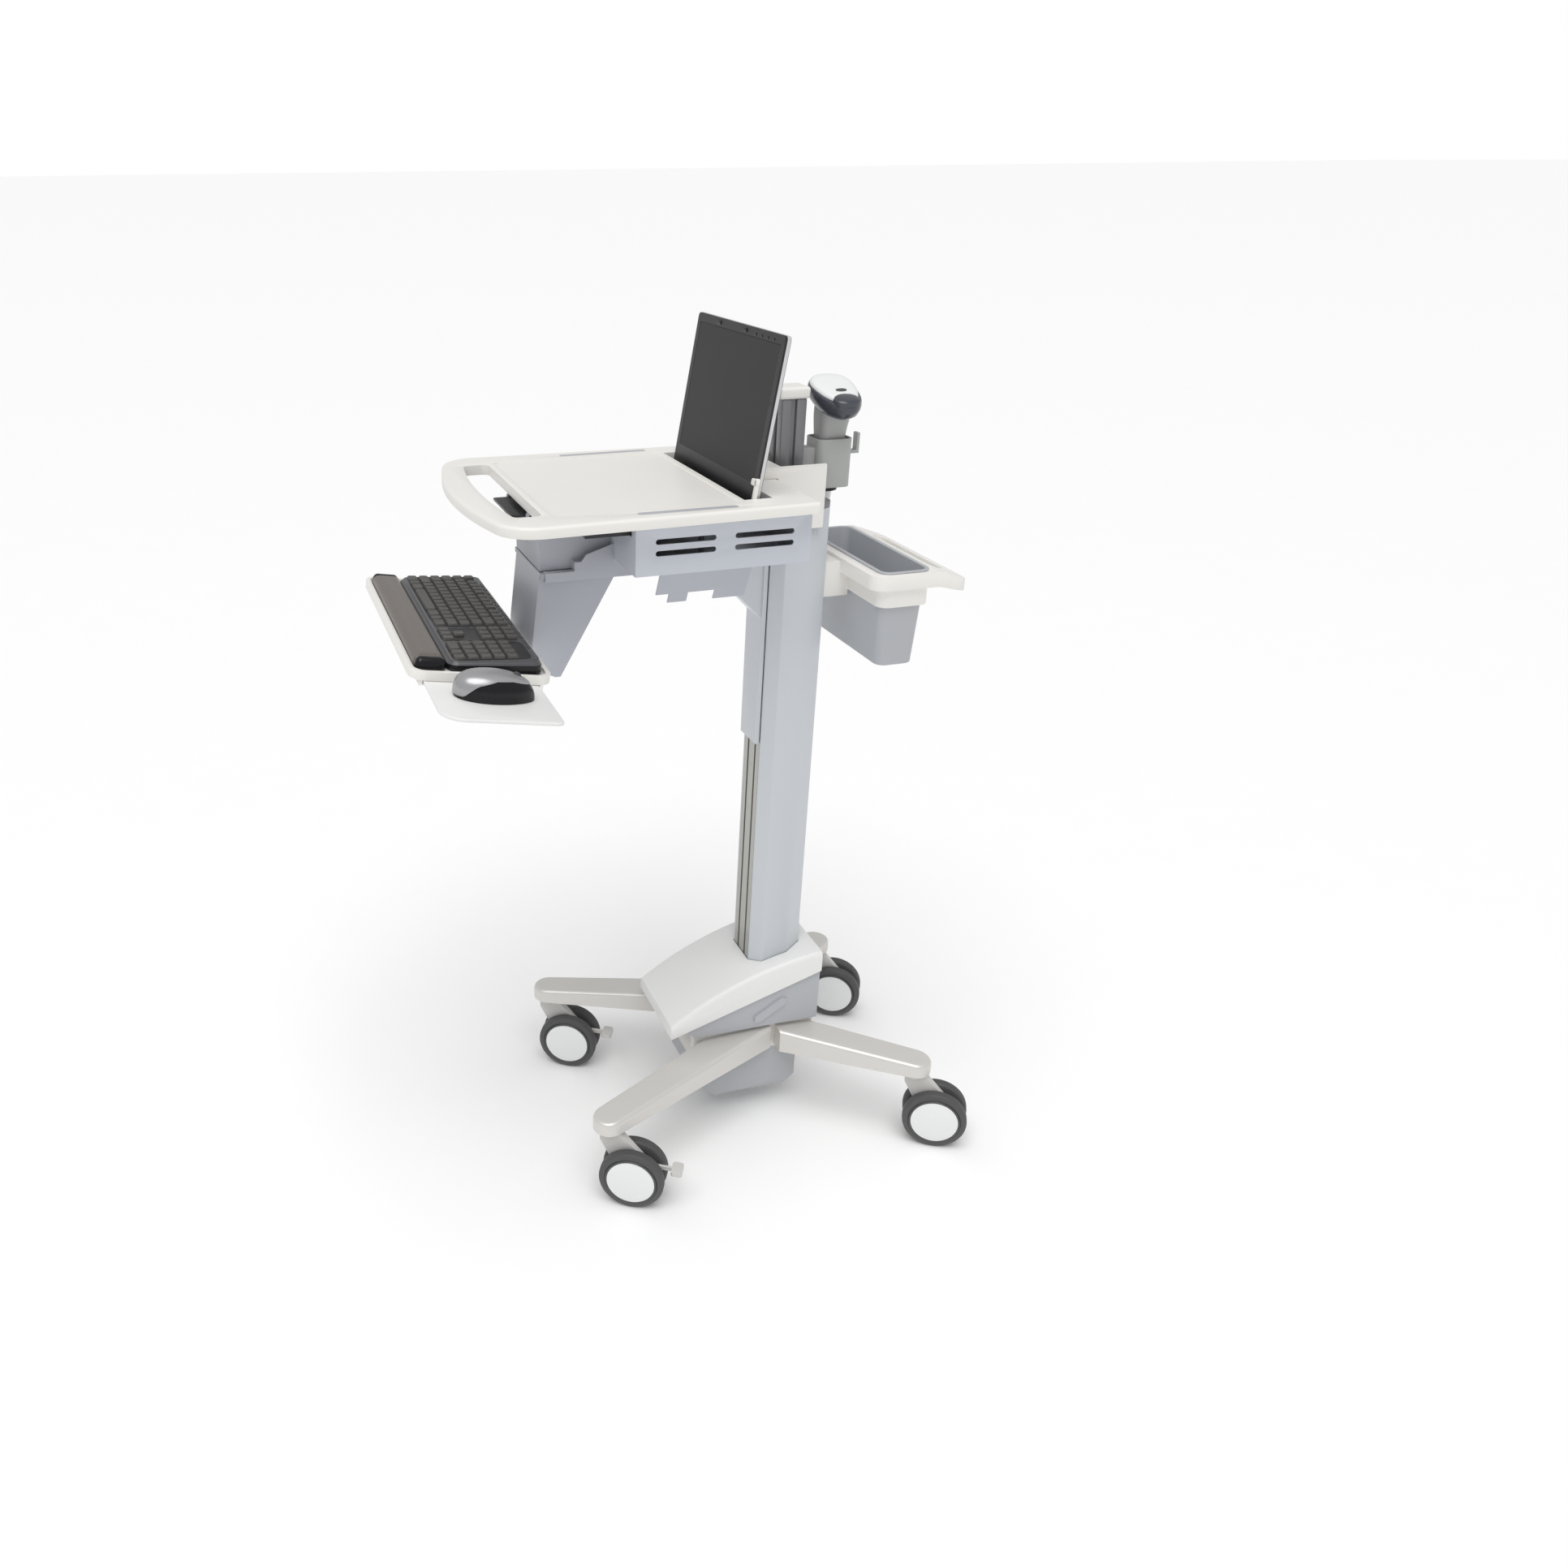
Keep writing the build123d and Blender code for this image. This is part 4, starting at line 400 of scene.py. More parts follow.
class CART_OT_finishes(bpy.types.Operator):
    """Give every CAD node the procedural finish of its material slot."""
    bl_idname = "cart.finishes"
    bl_label = "Finishes"

    def execute(self, context):
        tones = context.scene.cart_finishes
        made = {slot: finish_material(slot, getattr(tones, tone), **values)
                for slot, (tone, values) in {**FINISHES, **EXTRA_FINISHES}.items()}
        for part in frame["record"]["subparts"]:
            node = frame["nodes"][part["node"]]
            node.data.materials.clear()
            node.data.materials.append(made[finish_of(part["node"], part["material_slot"])])
        return {"FINISHED"}


# ------------------------------------------------------------------ surface helpers

def unit(vector):
    """The vector at length one."""
    vector = np.asarray(vector, float)
    return vector / np.linalg.norm(vector)


def joint(name):
    """(point on the joint's axis, unit axis) of a joint of the frame."""
    found = next(entry for entry in frame["joints"] if entry["name"] == name)
    return np.array(found.get("pos_m") or (0, 0, 0), float), unit(found["axis"])


def extent(node, axes, above=0.0):
    """Lowest and highest values of a CAD node's points along each of the three axes given as rows.

    above keeps only the points past that share of the second axis's span.
    """
    mesh = frame["nodes"][node].data
    points = np.empty(len(mesh.vertices) * 3)
    mesh.vertices.foreach_get("co", points)
    along = points.reshape(-1, 3) @ np.asarray(axes).T
    start = along[:, 1].min() + above * np.ptp(along[:, 1])
    kept = along[along[:, 1] >= start]
    return kept.min(0), kept.max(0)


def round_outline(half_x, half_y, radius, steps):
    """Rounded rectangle: the angle picks the corner, whose circle sits at half size less radius."""
    angle = (np.arange(steps) + 0.5) * 2 * pi / steps
    return np.stack((np.sign(np.cos(angle)) * (half_x - radius) + radius * np.cos(angle),
                     np.sign(np.sin(angle)) * (half_y - radius) + radius * np.sin(angle)), axis=1)


def add_mesh(name, points, faces, material, body, smooth=True, crease=35.0):
    """A piece from points and faces, welded, with outward normals, riding on a body."""
    mesh = bpy.data.meshes.new(name)
    mesh.from_pydata(points, [], faces)
    shell = bmesh.new()
    shell.from_mesh(mesh)
    bmesh.ops.remove_doubles(shell, verts=shell.verts, dist=WELD)
    bmesh.ops.recalc_face_normals(shell, faces=shell.faces)
    shell.to_mesh(mesh)
    shell.free()
    if smooth:
        mesh.shade_smooth()
        mesh.set_sharp_from_angle(angle=radians(crease))
    mesh.materials.append(material)
    piece = bpy.data.objects.new(name, mesh)
    bpy.context.scene.collection.objects.link(piece)
    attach(piece, body)
    return piece


def grid_faces(rows, columns, loop_rows=False, loop_columns=True):
    """Quads between neighbouring points of a grid, as an index array."""
    index = np.arange(rows * columns).reshape(rows, columns)
    down = np.roll(index, -1, 0) if loop_rows else index[1:]
    here = index if loop_rows else index[:-1]
    if loop_columns:
        quads = (here, np.roll(here, -1, 1), np.roll(down, -1, 1), down)
    else:
        quads = (here[:, :-1], here[:, 1:], down[:, 1:], down[:, :-1])
    return np.stack([part.ravel() for part in quads], axis=1)


def stacked(name, rings, axes, origin, material, body, **look):
    """Closed form from rings of points (ring, step, 3) in local axes, each end closed to a pole."""
    rings = np.concatenate((rings[:1].mean(1, keepdims=True).repeat(rings.shape[1], 1), rings,
                            rings[-1:].mean(1, keepdims=True).repeat(rings.shape[1], 1)))
    points = rings.reshape(-1, 3) @ np.asarray(axes) + np.asarray(origin)
    faces = grid_faces(rings.shape[0], rings.shape[1])
    return add_mesh(name, points.tolist(), faces.tolist(), material, body, **look)


def slab(name, half_x, half_y, radius, levels, axes, origin, material, body, steps=64, rise=None, **look):
    """Rounded slab: each level draws the outline in by an inset and lifts it to a height.

    levels holds (inset, height) pairs; rise, if given, maps (outline points, height) to a new height.
    """
    rings = []
    for inset, height in levels:
        outline = round_outline(half_x - inset, half_y - inset, max(radius - inset, radius * 0.25), steps)
        lift = np.full(len(outline), height) if rise is None else rise(outline, height)
        rings.append(np.column_stack((outline, lift)))
    return stacked(name, np.array(rings), axes, origin, material, body, **look)


def spun(name, profile, centre, axis, material, body, steps=72, **look):
    """Turned form: the profile's (radius, along) points carried once round the axis."""
    axis = unit(axis)
    first = unit(np.cross(axis, UP if abs(axis[2]) < 0.9 else ACROSS))
    second = np.cross(axis, first)
    angle = np.arange(steps) * 2 * pi / steps
    profile = np.asarray(profile, float)
    ring = np.cos(angle)[:, None] * first + np.sin(angle)[:, None] * second
    rings = profile[:, 0, None, None] * ring[None] + profile[:, 1, None, None] * axis
    points = rings.reshape(-1, 3) + np.asarray(centre)
    faces = grid_faces(len(profile), steps, loop_rows=True)
    return add_mesh(name, points.tolist(), faces.tolist(), material, body, **look)


def rounded_corner(radius_at, along_at, corner, start, end, steps=6):
    """Arc points of a turned profile: centre (radius_at, along_at), from angle start to end in degrees."""
    angle = np.radians(np.linspace(start, end, steps))
    return list(zip(radius_at + corner * np.cos(angle), along_at + corner * np.sin(angle)))


def material_of(slot):
    """The finish made for a slot of the record."""
    return bpy.data.materials[slot]


# ------------------------------------------------------------------ pieces

class CART_OT_casters(bpy.types.Operator):
    """Domed twin wheels: a slate rim, a soft tyre and a white cover on each of the eight wheels.

    Every piece is a turned profile of (radius, distance from the fork) carried round the wheel's axle.
    """
    bl_idname = "cart.casters"
    bl_label = "Casters"

    def execute(self, context):
        sizes = context.scene.cart_sizes
        for corner in CORNERS:
            for side in SIDES:
                self.build(f"{corner}_{side}", sizes)
        return {"FINISHED"}

    def build(self, label, sizes):
        """One wheel."""
        body = "wheel_" + label
        centre, axis = joint(body)
        axes = (axis, UP, np.cross(axis, UP))
        low, high = extent("caster_wheel_" + label, axes)
        tyre_low, tyre_high = extent("caster_tyre_" + label, axes)
        middle = float(centre @ axis)
        outward = 1.0 if (low[0] + high[0]) / 2 > middle else -1.0
        inner, outer = sorted((abs(low[0] - middle), abs(high[0] - middle)))
        tread_inner, tread_outer = sorted((abs(tyre_low[0] - middle), abs(tyre_high[0] - middle)))
        wheel, rim = (tyre_high[1] - tyre_low[1]) / 2, (high[1] - low[1]) / 2
        crown = sizes.tyre_crown
        tyre = ([(rim - 0.0002, tread_inner)]
                + rounded_corner(wheel - crown, tread_inner + crown, crown, -90, 0)
                + [(wheel, (tread_inner + tread_outer) / 2)]
                + rounded_corner(wheel - crown, tread_outer - crown, crown, 0, 90)
                + [(rim + 0.0015, tread_outer + 0.0012), (rim - 0.0002, tread_outer + 0.0006)])
        made = spun(body + "_tyre", tyre, centre, outward * axis, material_of("tyre_rubber"), body,
                    steps=96)
        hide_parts("caster_tyre_" + label)
        cover = sizes.cover_share * wheel
        bore = sizes.axle_bore / 2
        disc = [(0, outer - 0.009), (bore, outer - 0.009), (bore, inner), (rim * 0.4, inner),
                (rim * 0.45, inner + 0.003), (rim * 0.85, inner + 0.003), (rim * 0.9, inner + 0.001),
                (rim - 0.0006, inner + 0.001), (rim - 0.0003, tread_outer - 0.0005),
                (rim - 0.002, tread_outer + 0.0018), (cover + 0.003, tread_outer + 0.0030),
                (cover + 0.0012, tread_outer + 0.0022), (cover, tread_outer + 0.0012),
                (0, tread_outer + 0.0012)]
        made = spun(body + "_rim", disc, centre, outward * axis, material_of("rim_slate"), body)
        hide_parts("caster_wheel_" + label)
        share_out = np.linspace(0, 1, 12)
        dome = [(0, tread_outer + 0.0008), (cover - 0.0005, tread_outer + 0.0008),
                (cover - 0.0005, tread_outer + 0.0022)]
        top = outer - tread_outer
        dome += [(r * (cover - 0.001), tread_outer + 0.0022 + (top - 0.0022) * (1 - r ** 2.6))
                 for r in share_out[::-1]]
        made = spun(body + "_cover", dome, centre, outward * axis, material_of("wheel_cover"), body)


class CART_OT_keyboard(bpy.types.Operator):
    """Keyboard case, keycaps, palm rest and rear button strip, as rounded slabs in the tray's own axes."""
    bl_idname = "cart.keyboard"
    bl_label = "Keyboard"

    def execute(self, context):
        rearward = joint("mouse_glide")[1]
        axes = np.array((ACROSS, rearward, np.cross(ACROSS, rearward)))
        self.case(axes)
        self.keys(axes)
        self.palm(axes)
        return {"FINISHED"}

    def case(self, axes):
        """Case: a rounded outline whose top follows the slope from front height to rear height."""
        low, high = extent("keyboard_case", axes)
        half, middle = (high - low) / 2, (high + low) / 2
        rear = high[2] - low[2]
        depth = high[1] - low[1]

        def rise(outline, height):
            """Height share of the sloped top at each outline point."""
            top = rear - KEY_SLOPE * depth * (0.5 - outline[:, 1] / depth)
            return height * top

        levels = ((0.006, 0.0), (0.002, 0.04), (0.0005, 0.16), (0.0, 0.42), (0.0008, 0.66), (0.0032, 0.80),
                  (0.0044, 0.86), (0.0052, 0.96), (0.0066, 0.995), (0.009, 1.0))
        foot = (middle[0], middle[1], low[2]) @ axes
        made = slab("keyboard_body", half[0], half[1], CASE_CORNER, levels, axes, foot,
                    material_of("case_grey"), "tray", steps=96, rise=rise)
        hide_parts("keyboard_case")
        gloss = ((0.0, 0.10), (-0.0004, 0.16), (-0.0006, 0.42), (0.0002, 0.62), (0.0012, 0.66))
        band = slab("keyboard_side_band", half[0], half[1], CASE_CORNER, gloss, axes, foot,
                    material_of("gloss_black"), "tray", steps=96, rise=rise)
        base = rear - KEY_SLOPE * depth
        strip = np.linspace(-MEDIA_SHARE, MEDIA_SHARE, MEDIA_BUTTONS) * 2 * half[0]
        centres = np.column_stack((strip, np.full(MEDIA_BUTTONS, half[1] - MEDIA_SETBACK),
                                   np.zeros(MEDIA_BUTTONS)))
        self.caps("media_buttons", centres + (middle[0], middle[1], 0),
                  np.full((MEDIA_BUTTONS, 2), MEDIA_HALF), MEDIA_HEIGHT, axes, low[2], base, depth, middle,
                  "key_grey")

    def keys(self, axes):
        """Keycaps in a full layout, with a near-black plate under each block of keys as painted shade in the
        gaps between keycaps.
        """
        low = extent("keycaps", axes)[0]
        case_low, case_high = extent("keyboard_case", axes)
        middle = (case_low + case_high) / 2
        blocks = ((MAIN_ROWS, low[0]), (CLUSTER_ROWS, low[0] + 14 * KEY_PITCH + BLOCK_GAP),
                  (NUMBER_ROWS, low[0] + 17 * KEY_PITCH + 2 * BLOCK_GAP))
        centres, halves = [], []
        for block, left in blocks:
            for row, widths in enumerate(block):
                at = left
                for width in widths:
                    span = abs(width) * KEY_PITCH
                    if width > 0:
                        centres.append((at + span / 2, low[1] + (row + 0.5) * KEY_PITCH - KEYS_SETBACK, 0))
                        halves.append(((span - KEY_GAP) / 2, (KEY_PITCH - KEY_GAP) / 2))
                    at += span
        depth = case_high[1] - case_low[1]
        front_height = case_high[2] - case_low[2] - KEY_SLOPE * depth
        half_depth = len(MAIN_ROWS) / 2 * KEY_PITCH
        half_widths = [sum(abs(width) for width in block[0]) * KEY_PITCH / 2 for block, _ in blocks]
        # Painted shade: a near-black plate under each block of keys stands for the shadow in the gaps
        # between keycaps.
        shade_plate_at = [(left + half_width, low[1] + half_depth - KEYS_SETBACK, 0)
                   for (_, left), half_width in zip(blocks, half_widths)]
        shade_plate_half = [(half_width + SHADE_PLATE_MARGIN, half_depth) for half_width in half_widths]
        self.caps("key_wells", np.array(shade_plate_at), np.array(shade_plate_half), SHADE_PLATE_HEIGHT, axes, case_low[2],
                  front_height, depth, middle, "dark_plastic")
        made = self.caps("keyboard_keys", np.array(centres), np.array(halves), KEY_HEIGHT, axes,
                         case_low[2], front_height, depth, middle, "key_grey")
        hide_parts("keycaps")

    def caps(self, name, centres, halves, height, axes, floor, front_height, depth, middle, finish):
        """Tapered caps with dished tops: superellipse rings for every cap, lifted to the case's slope."""
        steps = 16
        angle = (np.arange(steps) + 0.5) * 2 * pi / steps
        square = np.stack((np.sign(np.cos(angle)) * np.abs(np.cos(angle)) ** 0.25,
                           np.sign(np.sin(angle)) * np.abs(np.sin(angle)) ** 0.25), axis=1)
        inset = np.array((0.0, 0.0002, 0.0012, 0.0018, 0.0045))
        lift = np.array((-0.4, 0.35, 0.93, 1.0, 0.86)) * height
        size = halves[:, None, None, :] - inset[None, :, None, None] * min(1.0, height / 0.004)
        flat = centres[:, None, None, :2] + square[None, None] * size
        slope = floor + front_height + KEY_SLOPE * (flat[..., 1] - (middle[1] - depth / 2))
        high = slope + lift[None, :, None]
        rings = np.concatenate((flat, high[..., None]), axis=3)
        rings = np.concatenate((rings, rings[:, -1:].mean(2, keepdims=True).repeat(steps, 2)), axis=1)
        count, levels = rings.shape[:2]
        template = grid_faces(levels, steps)
        faces = (np.arange(count)[:, None, None] * levels * steps + template[None]).reshape(-1, 4)
        points = rings.reshape(-1, 3) @ axes
        made = add_mesh(name, points.tolist(), faces.tolist(), material_of(finish), "tray")
        return made

    def palm(self, axes):
        """Palm rest: a long crowned slab with a black cap at each end."""
        low, high = extent("palm_rest", axes)
        half, middle = (high - low) / 2, (high + low) / 2
        tall = high[2] - low[2]
        curve = np.linspace(0, pi / 2, 12)
        levels = [(0.002, 0.0), (0.0, 0.12 * tall)]
        levels += [((1 - np.cos(a)) * half[1] * 0.62, tall * (0.3 + 0.7 * np.sin(a))) for a in curve]
        made = slab("palm_rest_pad", half[0] - 0.012, half[1], 0.008, levels, axes,
                    (middle[0], middle[1], low[2]) @ axes, material_of("palm_grey"), "tray", steps=80)
        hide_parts("palm_rest")
        for sign in (-1, 1):
            levels = [(0.002, 0.0), (0.0, 0.1 * tall)]
            levels += [((1 - np.cos(a)) * PALM_END_CORNER, tall * (0.25 + 0.67 * np.sin(a))) for a in curve]
            place = (middle[0] + sign * (half[0] - PALM_END_HALF - 0.0002), middle[1], low[2]) @ axes
            end = slab(f"palm_rest_end_{'right' if sign > 0 else 'left'}", PALM_END_HALF, half[1] - 0.001,
                       PALM_END_CORNER, levels, axes, place, material_of("gloss_black"), "tray", steps=48)


class CART_OT_mouse(bpy.types.Operator):
    """Mouse: a black body, a silver top shell and a scroll wheel.

    Both shells are one egg surface: the outline shrinks as a cosine power of the height share, and its
    height grows as the sine. The top shell keeps the part above a curve that dips to the foot at the palm
    end and rises along the sides.
    """
    bl_idname = "cart.mouse"
    bl_label = "Mouse"

    def egg(self, around, share_up, half, tall):
        """Points of the mouse's surface at angles and height shares (0 at the foot, 1 on the crown)."""
        rise = share_up * pi / 2
        reach = np.cos(rise) ** 0.62 + 0.02 * np.sin(2 * rise)
        across = np.cos(around) * half[0] * reach * (1 - 0.10 * np.sin(around))
        along = np.sin(around) * half[1] * reach - 0.10 * half[1] * np.sin(rise)
        up = tall * np.sin(rise) ** 0.80 * (1 - 0.14 * np.clip(along / half[1], 0, 1) ** 2)
        return np.stack((across, along, up), axis=-1)

    def execute(self, context):
        rearward = joint("mouse_glide")[1]
        axes = np.array((ACROSS, rearward, np.cross(ACROSS, rearward)))
        low, high = extent("mouse", axes)
        half, middle = (high - low) / 2, (high + low) / 2
        origin = np.array((middle[0], middle[1], low[2] + MOUSE_CLEARANCE)) @ axes
        tall = (high[2] - low[2]) * 0.97
        around = np.arange(MOUSE_AROUND) * 2 * pi / MOUSE_AROUND
        rows = np.linspace(0, 1, MOUSE_UP)
        body = self.egg(around[None], np.repeat(rows[:, None], MOUSE_AROUND, 1), half - MOUSE_SHELL_GAP,
                        tall - MOUSE_SHELL_GAP)
        made = stacked("mouse_body", body, axes, origin, material_of("gloss_black"), "mouse")
        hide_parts("mouse")
        edge = np.interp(np.sin(around), *SHELL_EDGE)
        shares = edge[None] + (1 - edge[None]) * rows[:, None]
        top = self.egg(around[None], shares, half, tall)
        points = top.reshape(-1, 3) @ axes + origin
        shell = add_mesh("mouse_top_shell", points.tolist(), grid_faces(MOUSE_UP, MOUSE_AROUND).tolist(),
                         material_of("mouse_shell"), "mouse", crease=60.0)
        wall = shell.modifiers.new("wall", "SOLIDIFY")
        wall.thickness, wall.offset = MOUSE_WALL, -1.0
        wheel_at = np.array((0, half[1] * 0.46, tall * 0.80)) @ axes + origin
        reach, side = SCROLL_RADIUS - SCROLL_EDGE, SCROLL_HALF - SCROLL_EDGE
        profile = ([(0, SCROLL_HALF)] + rounded_corner(reach, side, SCROLL_EDGE, 90, 0)
                   + rounded_corner(reach, -side, SCROLL_EDGE, 0, -90) + [(0, -SCROLL_HALF)])
        wheel = spun("mouse_scroll_wheel", profile, wheel_at, ACROSS, material_of("tyre_rubber"), "mouse",
                     steps=40)
        return {"FINISHED"}


class CART_OT_laptop(bpy.types.Operator):
    """Screen glass, back shell, clip, latch hooks and buttons, as rounded slabs in the lid's own axes."""
    bl_idname = "cart.laptop"
    bl_label = "Laptop"

    def execute(self, context):
        sizes = context.scene.cart_sizes
        lean = sizes.lid_lean
        up_lid = np.array((0, np.sin(lean), np.cos(lean)))
        axes = np.array((ACROSS, up_lid, np.cross(ACROSS, up_lid)))
        low, high = extent("laptop_lid", axes)
        front = extent("laptop_lid", axes, above=0.5)[1][2]
        hinge, _ = joint("lid_hinge")
        foot = float(hinge @ up_lid) + sizes.lid_foot
        bottom, top = foot + sizes.screen_foot, high[1] - sizes.screen_edge
        half = ((high[0] - low[0]) / 2 - sizes.screen_edge, (top - bottom) / 2)
        centre = ((low[0] + high[0]) / 2, (bottom + top) / 2)
        levels = ((0.0, 0.0), (0.0, 0.0006), (0.0003, 0.0009), (0.004, 0.0009))
        glass = slab("screen_glass", half[0] - 0.0004, half[1] - 0.0004, 0.002, levels, axes,
                     (*centre, front - 0.0011) @ axes, material_of("screen_glass"), "lid", steps=32)
        thick = sizes.lid_thickness
        levels = ((0.0016, -0.0002), (0.0004, 0.0006), (0.0, 0.0018), (0.0, thick * 0.62),
                  (0.0006, thick * 0.66), (0.0030, thick * 0.66), (0.0060, thick * 0.66))
        shell = slab("lid_back_shell", (high[0] - low[0]) / 2 + 0.0005, (high[1] - foot) / 2 + 0.0004,
                     0.007, levels, axes, (centre[0], (high[1] + foot) / 2 + 0.0002, front - thick) @ axes,
                     material_of("lid_silver"), "lid", steps=48)
        for name, low_share, size, out in (("lid_clip_post", 0.10, (0.0035, 0.024), 0.0),
                                           ("lid_clip_hook", 0.17, (0.010, 0.005), -0.006)):
            levels = ((0.001, -0.001), (0.0, 0.0), (0.0, 0.004), (0.001, 0.005))
            place = (high[0] + 0.0025 + out, foot + low_share * (high[1] - foot), front - 0.001) @ axes
            clip = slab(name, *size, 0.003, levels, axes, place, material_of("white_plastic"), "lid",
                        steps=24)
        for number, across in enumerate((-0.5, 0.16)):
            levels = ((0.0, -0.0003), (0.0, 0.0006), (0.0008, 0.0013), (0.002, 0.0014))
            hook = slab(f"lid_latch_{number + 1}", 0.008, 0.0032, 0.0028, levels, axes,
                        (centre[0] + across * half[0], top + 0.006, front) @ axes,
                        material_of("gloss_black"), "lid", steps=24)
        for number in range(4):
            levels = ((0.0, -0.0003), (0.0, 0.0003), (0.0005, 0.0006), (0.0012, 0.0006))
            lamp = slab(f"lid_button_{number + 1}", 0.0032, 0.0022, 0.0018, levels, axes,
                        (centre[0] + half[0] * (0.42 + 0.14 * number), top + 0.0042, front) @ axes,
                        material_of("gloss_black"), "lid", steps=16)
        return {"FINISHED"}


class CART_OT_scanner(bpy.types.Operator):
    """Hand scanner: a slate head, a white top shell, a rear nose with its button, and a waisted grip.

    The head's rings are eggs, wider at the window end, in the head's own turned and tilted axes; the
    grip is a stack of rounded sections that narrow and lean up to the head. The ring and spigot under
    the holder's cup are made here too.
    """
    bl_idname = "cart.scanner"
    bl_label = "Scanner"

    def head_rings(self, half_width, half_length, levels, flare, steps=64, shift=0.0):
        """Egg outlines that widen towards the window end by the flare; levels are (scale, height)."""
        angle = np.arange(steps) * 2 * pi / steps
        along = np.sign(np.sin(angle)) * np.abs(np.sin(angle)) ** 0.86
        across = np.sign(np.cos(angle)) * np.abs(np.cos(angle)) ** 0.86 * (1 - flare * along)
        rings = [np.column_stack((across * half_width * scale, along * half_length * scale + shift,
                                  np.full(steps, height))) for scale, height in levels]
        return np.array(rings)

    def execute(self, context):
        sizes = context.scene.cart_sizes
        turn, tilt = sizes.scanner_turn, sizes.scanner_tilt
        rearward = np.array((np.sin(turn), np.cos(turn), 0))
        normal = rearward * np.sin(tilt) + UP * np.cos(tilt)
        width = np.array((np.cos(turn), -np.sin(turn), 0))
        axes = np.array((width, np.cross(normal, width), normal))
        trigger_low, trigger_high = (np.array(corner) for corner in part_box("scanner_trigger"))
        holder_low, holder_high = (np.array(corner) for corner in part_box("scanner_holder"))
        middle_y = (trigger_low[1] + trigger_high[1]) / 2
        middle = np.array((trigger_low[0] + sizes.scanner_grip_setback, middle_y, 0))
        head = (middle + rearward * sizes.scanner_head_setback
                + UP * (trigger_high[2] + sizes.scanner_head_lift))
        origin = head - normal * sizes.scanner_head_height / 2
        half_length, half_width = sizes.scanner_head_length / 2, sizes.scanner_head_width / 2
        tall = sizes.scanner_head_height
        levels = np.array(((0.60, 0.02), (0.80, 0.08), (0.94, 0.26), (1.0, 0.50), (1.0, 0.66), (0.97, 0.76),
                           (0.9, 0.80))) * (1, tall)
        rings = self.head_rings(half_width, half_length, levels, 0.14)
        made = stacked("scanner_head", rings, axes, origin, material_of("gloss_slate"), "scanner")
        levels = np.array(((1.0, 0.74), (1.0, 0.82), (0.97, 0.89), (0.90, 0.94), (0.75, 0.975), (0.5, 0.995),
                           (0.2, 1.0))) * (1, tall)
        rings = self.head_rings(half_width * 0.93, half_length * 0.84, levels, 0.16,
                                shift=-half_length * 0.10)
        shell = stacked("scanner_top_shell", rings, axes, origin, material_of("scanner_shell"), "scanner")
        levels = np.array(((1.0, 0.56), (1.0, 0.84), (0.94, 0.94), (0.8, 0.99), (0.5, 1.02),
                           (0.2, 1.025))) * (1, tall)
        rings = self.head_rings(half_width * 0.60, half_length * 0.30, levels, -0.05,
                                shift=half_length * 0.66)
        rear = stacked("scanner_rear_cap", rings, axes, origin, material_of("gloss_slate"), "scanner")
        levels = np.array(((1.0, 0.92), (1.0, 1.015), (0.8, 1.03), (0.4, 1.035))) * (1, tall)
        rings = self.head_rings(0.009, 0.0045, levels, 0.0, shift=half_length * 0.22)
        pad = stacked("scanner_button", rings, axes, origin, material_of("trigger_grey"), "scanner")
        foot_z = holder_low[2] + sizes.cup_floor + 0.0005
        foot = middle + UP * foot_z
        neck = head - normal * tall * 0.30
        share_up = np.linspace(0, 1, 18)
        waist = 1 - 0.16 * np.sin(share_up * pi) ** 2
        sway = np.clip((share_up - 0.62) / 0.38, 0, 1) ** 1.5
        rings = []
        for part, narrow, lean in zip(share_up, waist, sway):
            outline = round_outline(sizes.grip_half_x * narrow, sizes.grip_half_y * narrow, GRIP_CORNER,
                                    GRIP_AROUND)
            here = foot + (neck - foot) * (lean, lean, part)
            rings.append(np.column_stack((outline, np.zeros(GRIP_AROUND))) + here)
        grip = stacked("scanner_grip", np.array(rings), np.eye(3), (0, 0, 0), material_of("holder_grey"),
                       "scanner")
        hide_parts("scanner")
        self.ring(holder_low, holder_high)
        return {"FINISHED"}

    def ring(self, low, high):
        """Black ring and short white spigot under the holder's cup."""
        radius = (high[0] - low[0]) / 2
        cup_middle = np.array(((low[0] + high[0]) / 2, low[1] + radius + RING_BACK, low[2]))
        band = [(0, 0.0004), (RING_RADIUS, 0.0004), (RING_RADIUS, -RING_HEIGHT), (0, -RING_HEIGHT)]
        made = spun("holder_ring", band, cup_middle, UP, material_of("gloss_black"), "chassis")
        spigot = [(0, 0.0), (SPIGOT_RADIUS, 0.0), (SPIGOT_RADIUS * SPIGOT_TAPER, -SPIGOT_HEIGHT),
                  (0, -SPIGOT_HEIGHT)]
        made = spun("holder_spigot", spigot, cup_middle - UP * RING_HEIGHT, UP,
                    material_of("scanner_shell"), "chassis")


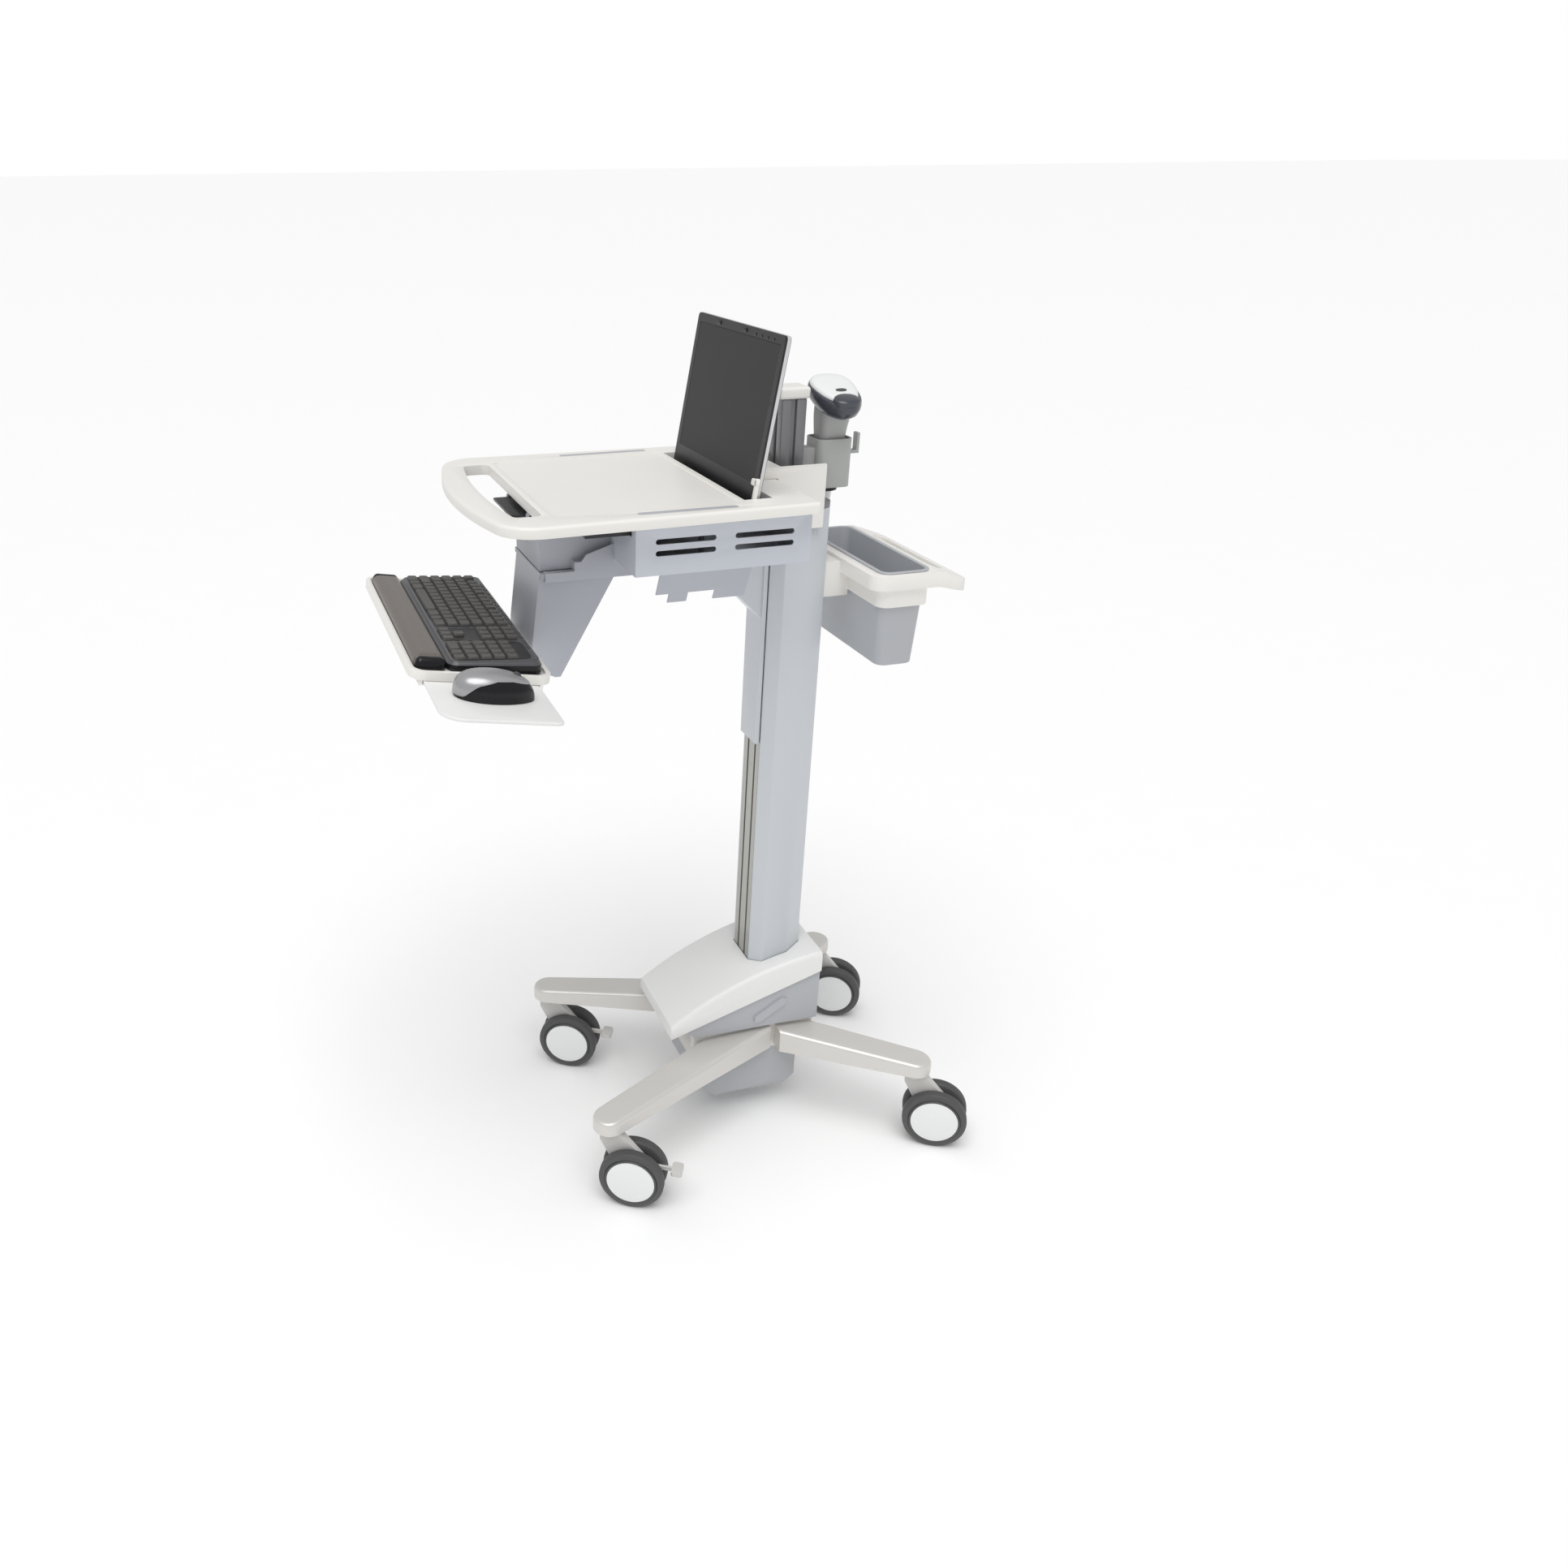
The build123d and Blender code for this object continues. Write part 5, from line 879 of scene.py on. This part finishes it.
class CART_OT_soft_edges(bpy.types.Operator):
    """Rounded edges on pressed, moulded and cast pieces.

    Each is a copy of its CAD node's mesh, welded and with its flat areas joined, whose edges sharper than
    the limit get a rolled bevel of the width listed for the node.
    """
    bl_idname = "cart.soft_edges"
    bl_label = "Soft edges"

    def execute(self, context):
        slots = {part["node"]: part["material_slot"] for part in frame["record"]["subparts"]}
        for width, nodes in EDGE_WIDTHS.items():
            for node in nodes:
                piece = self.soften(node, width, material_of(finish_of(node, slots[node])))
        return {"FINISHED"}

    def soften(self, node, width, material):
        """One softened copy, riding on its node's body."""
        source = frame["nodes"][node]
        mesh = source.data.copy()
        mesh.name = node + "_shell"
        shell = bmesh.new()
        shell.from_mesh(mesh)
        bmesh.ops.remove_doubles(shell, verts=shell.verts, dist=WELD)
        bmesh.ops.dissolve_limit(shell, angle_limit=FLAT_ANGLE, verts=shell.verts, edges=shell.edges,
                                 delimit={"NORMAL"})
        shell.to_mesh(mesh)
        shell.free()
        mesh.shade_smooth()
        mesh.materials.clear()
        mesh.materials.append(material)
        piece = bpy.data.objects.new(node + "_shell", mesh)
        bpy.context.scene.collection.objects.link(piece)
        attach(piece, source["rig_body"])
        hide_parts(node)
        bevel = piece.modifiers.new("rolled_edges", "BEVEL")
        bevel.width, bevel.segments, bevel.limit_method = width, EDGE_SEGMENTS, "ANGLE"
        bevel.angle_limit, bevel.use_clamp_overlap, bevel.harden_normals = EDGE_ANGLE, True, True
        return piece


class CART_OT_stage(bpy.types.Operator):
    """Make the floor, the even surround, the overhead light and the camera."""
    bl_idname = "cart.stage"
    bl_label = "Stage"

    def execute(self, context):
        settings = context.scene.cart_stage
        half = settings.floor_size / 2
        mesh = bpy.data.meshes.new("floor")
        mesh.from_pydata([(-half, -half, 0), (half, -half, 0), (half, half, 0), (-half, half, 0)], [],
                         [(0, 1, 2, 3)])
        floor = bpy.data.objects.new("floor", mesh)
        context.scene.collection.objects.link(floor)
        mesh.materials.append(finish_material("floor_paint", settings.floor, roughness=0.6, mottle=0.01,
                                              grain_scale=200.0, grain_depth=0.02, scuffs=0.0, dust=0.0))
        world = bpy.data.worlds.new("studio")
        world.use_nodes = True
        tree = world.node_tree
        background = tree.nodes["Background"]
        background.inputs["Color"].default_value = tuple(settings.sky)
        rays = add_node(tree, "ShaderNodeLightPath", (-600, 0))
        level = add_node(tree, "ShaderNodeMapRange", (-300, 0), To_Min=settings.sky_strength, To_Max=1.0)
        tree.links.new(rays.outputs["Is Camera Ray"], level.inputs["Value"])
        tree.links.new(level.outputs["Result"], background.inputs["Strength"])
        context.scene.world = world
        lamp = bpy.data.lights.new("overhead", "SUN")
        lamp.energy, lamp.angle = settings.sun_strength, settings.sun_spread
        light = bpy.data.objects.new("overhead", lamp)
        context.scene.collection.objects.link(light)
        light.rotation_euler = LIGHT_FROM.to_track_quat("Z", "Y").to_euler()
        view = bpy.data.cameras.new("camera")
        view.lens = settings.lens
        view.shift_x, view.shift_y = CAMERA_SHIFT
        camera = bpy.data.objects.new("camera", view)
        context.scene.collection.objects.link(camera)
        camera.matrix_world = CAMERA_PLACE
        context.scene.camera = camera
        context.scene.view_settings.view_transform = "Standard"
        return {"FINISHED"}


class CART_PT_panel(bpy.types.Panel):
    """Buttons for each group of pieces."""
    bl_idname = "CART_PT_panel"
    bl_label = "Medication cart"
    bl_space_type = "VIEW_3D"
    bl_region_type = "UI"
    bl_category = "Cart"

    def draw(self, context):
        for step in STEPS:
            self.layout.operator(step.bl_idname)


STEPS = (CART_OT_finishes, CART_OT_soft_edges, CART_OT_casters, CART_OT_keyboard, CART_OT_mouse,
         CART_OT_laptop, CART_OT_scanner, CART_OT_stage)
CLASSES = (CartFinishes, CartSizes, CartStage, *STEPS, CART_PT_panel)


def register():
    for kind in CLASSES:
        bpy.utils.register_class(kind)
    bpy.types.Scene.cart_finishes = bpy.props.PointerProperty(type=CartFinishes)
    bpy.types.Scene.cart_sizes = bpy.props.PointerProperty(type=CartSizes)
    bpy.types.Scene.cart_stage = bpy.props.PointerProperty(type=CartStage)


def unregister():
    del bpy.types.Scene.cart_stage
    del bpy.types.Scene.cart_sizes
    del bpy.types.Scene.cart_finishes
    for kind in reversed(CLASSES):
        bpy.utils.unregister_class(kind)


def main():
    """Make everything in order."""
    register()
    for step in STEPS:
        space, name = step.bl_idname.split(".")
        getattr(getattr(bpy.ops, space), name)()


if __name__ == "__main__":
    main()
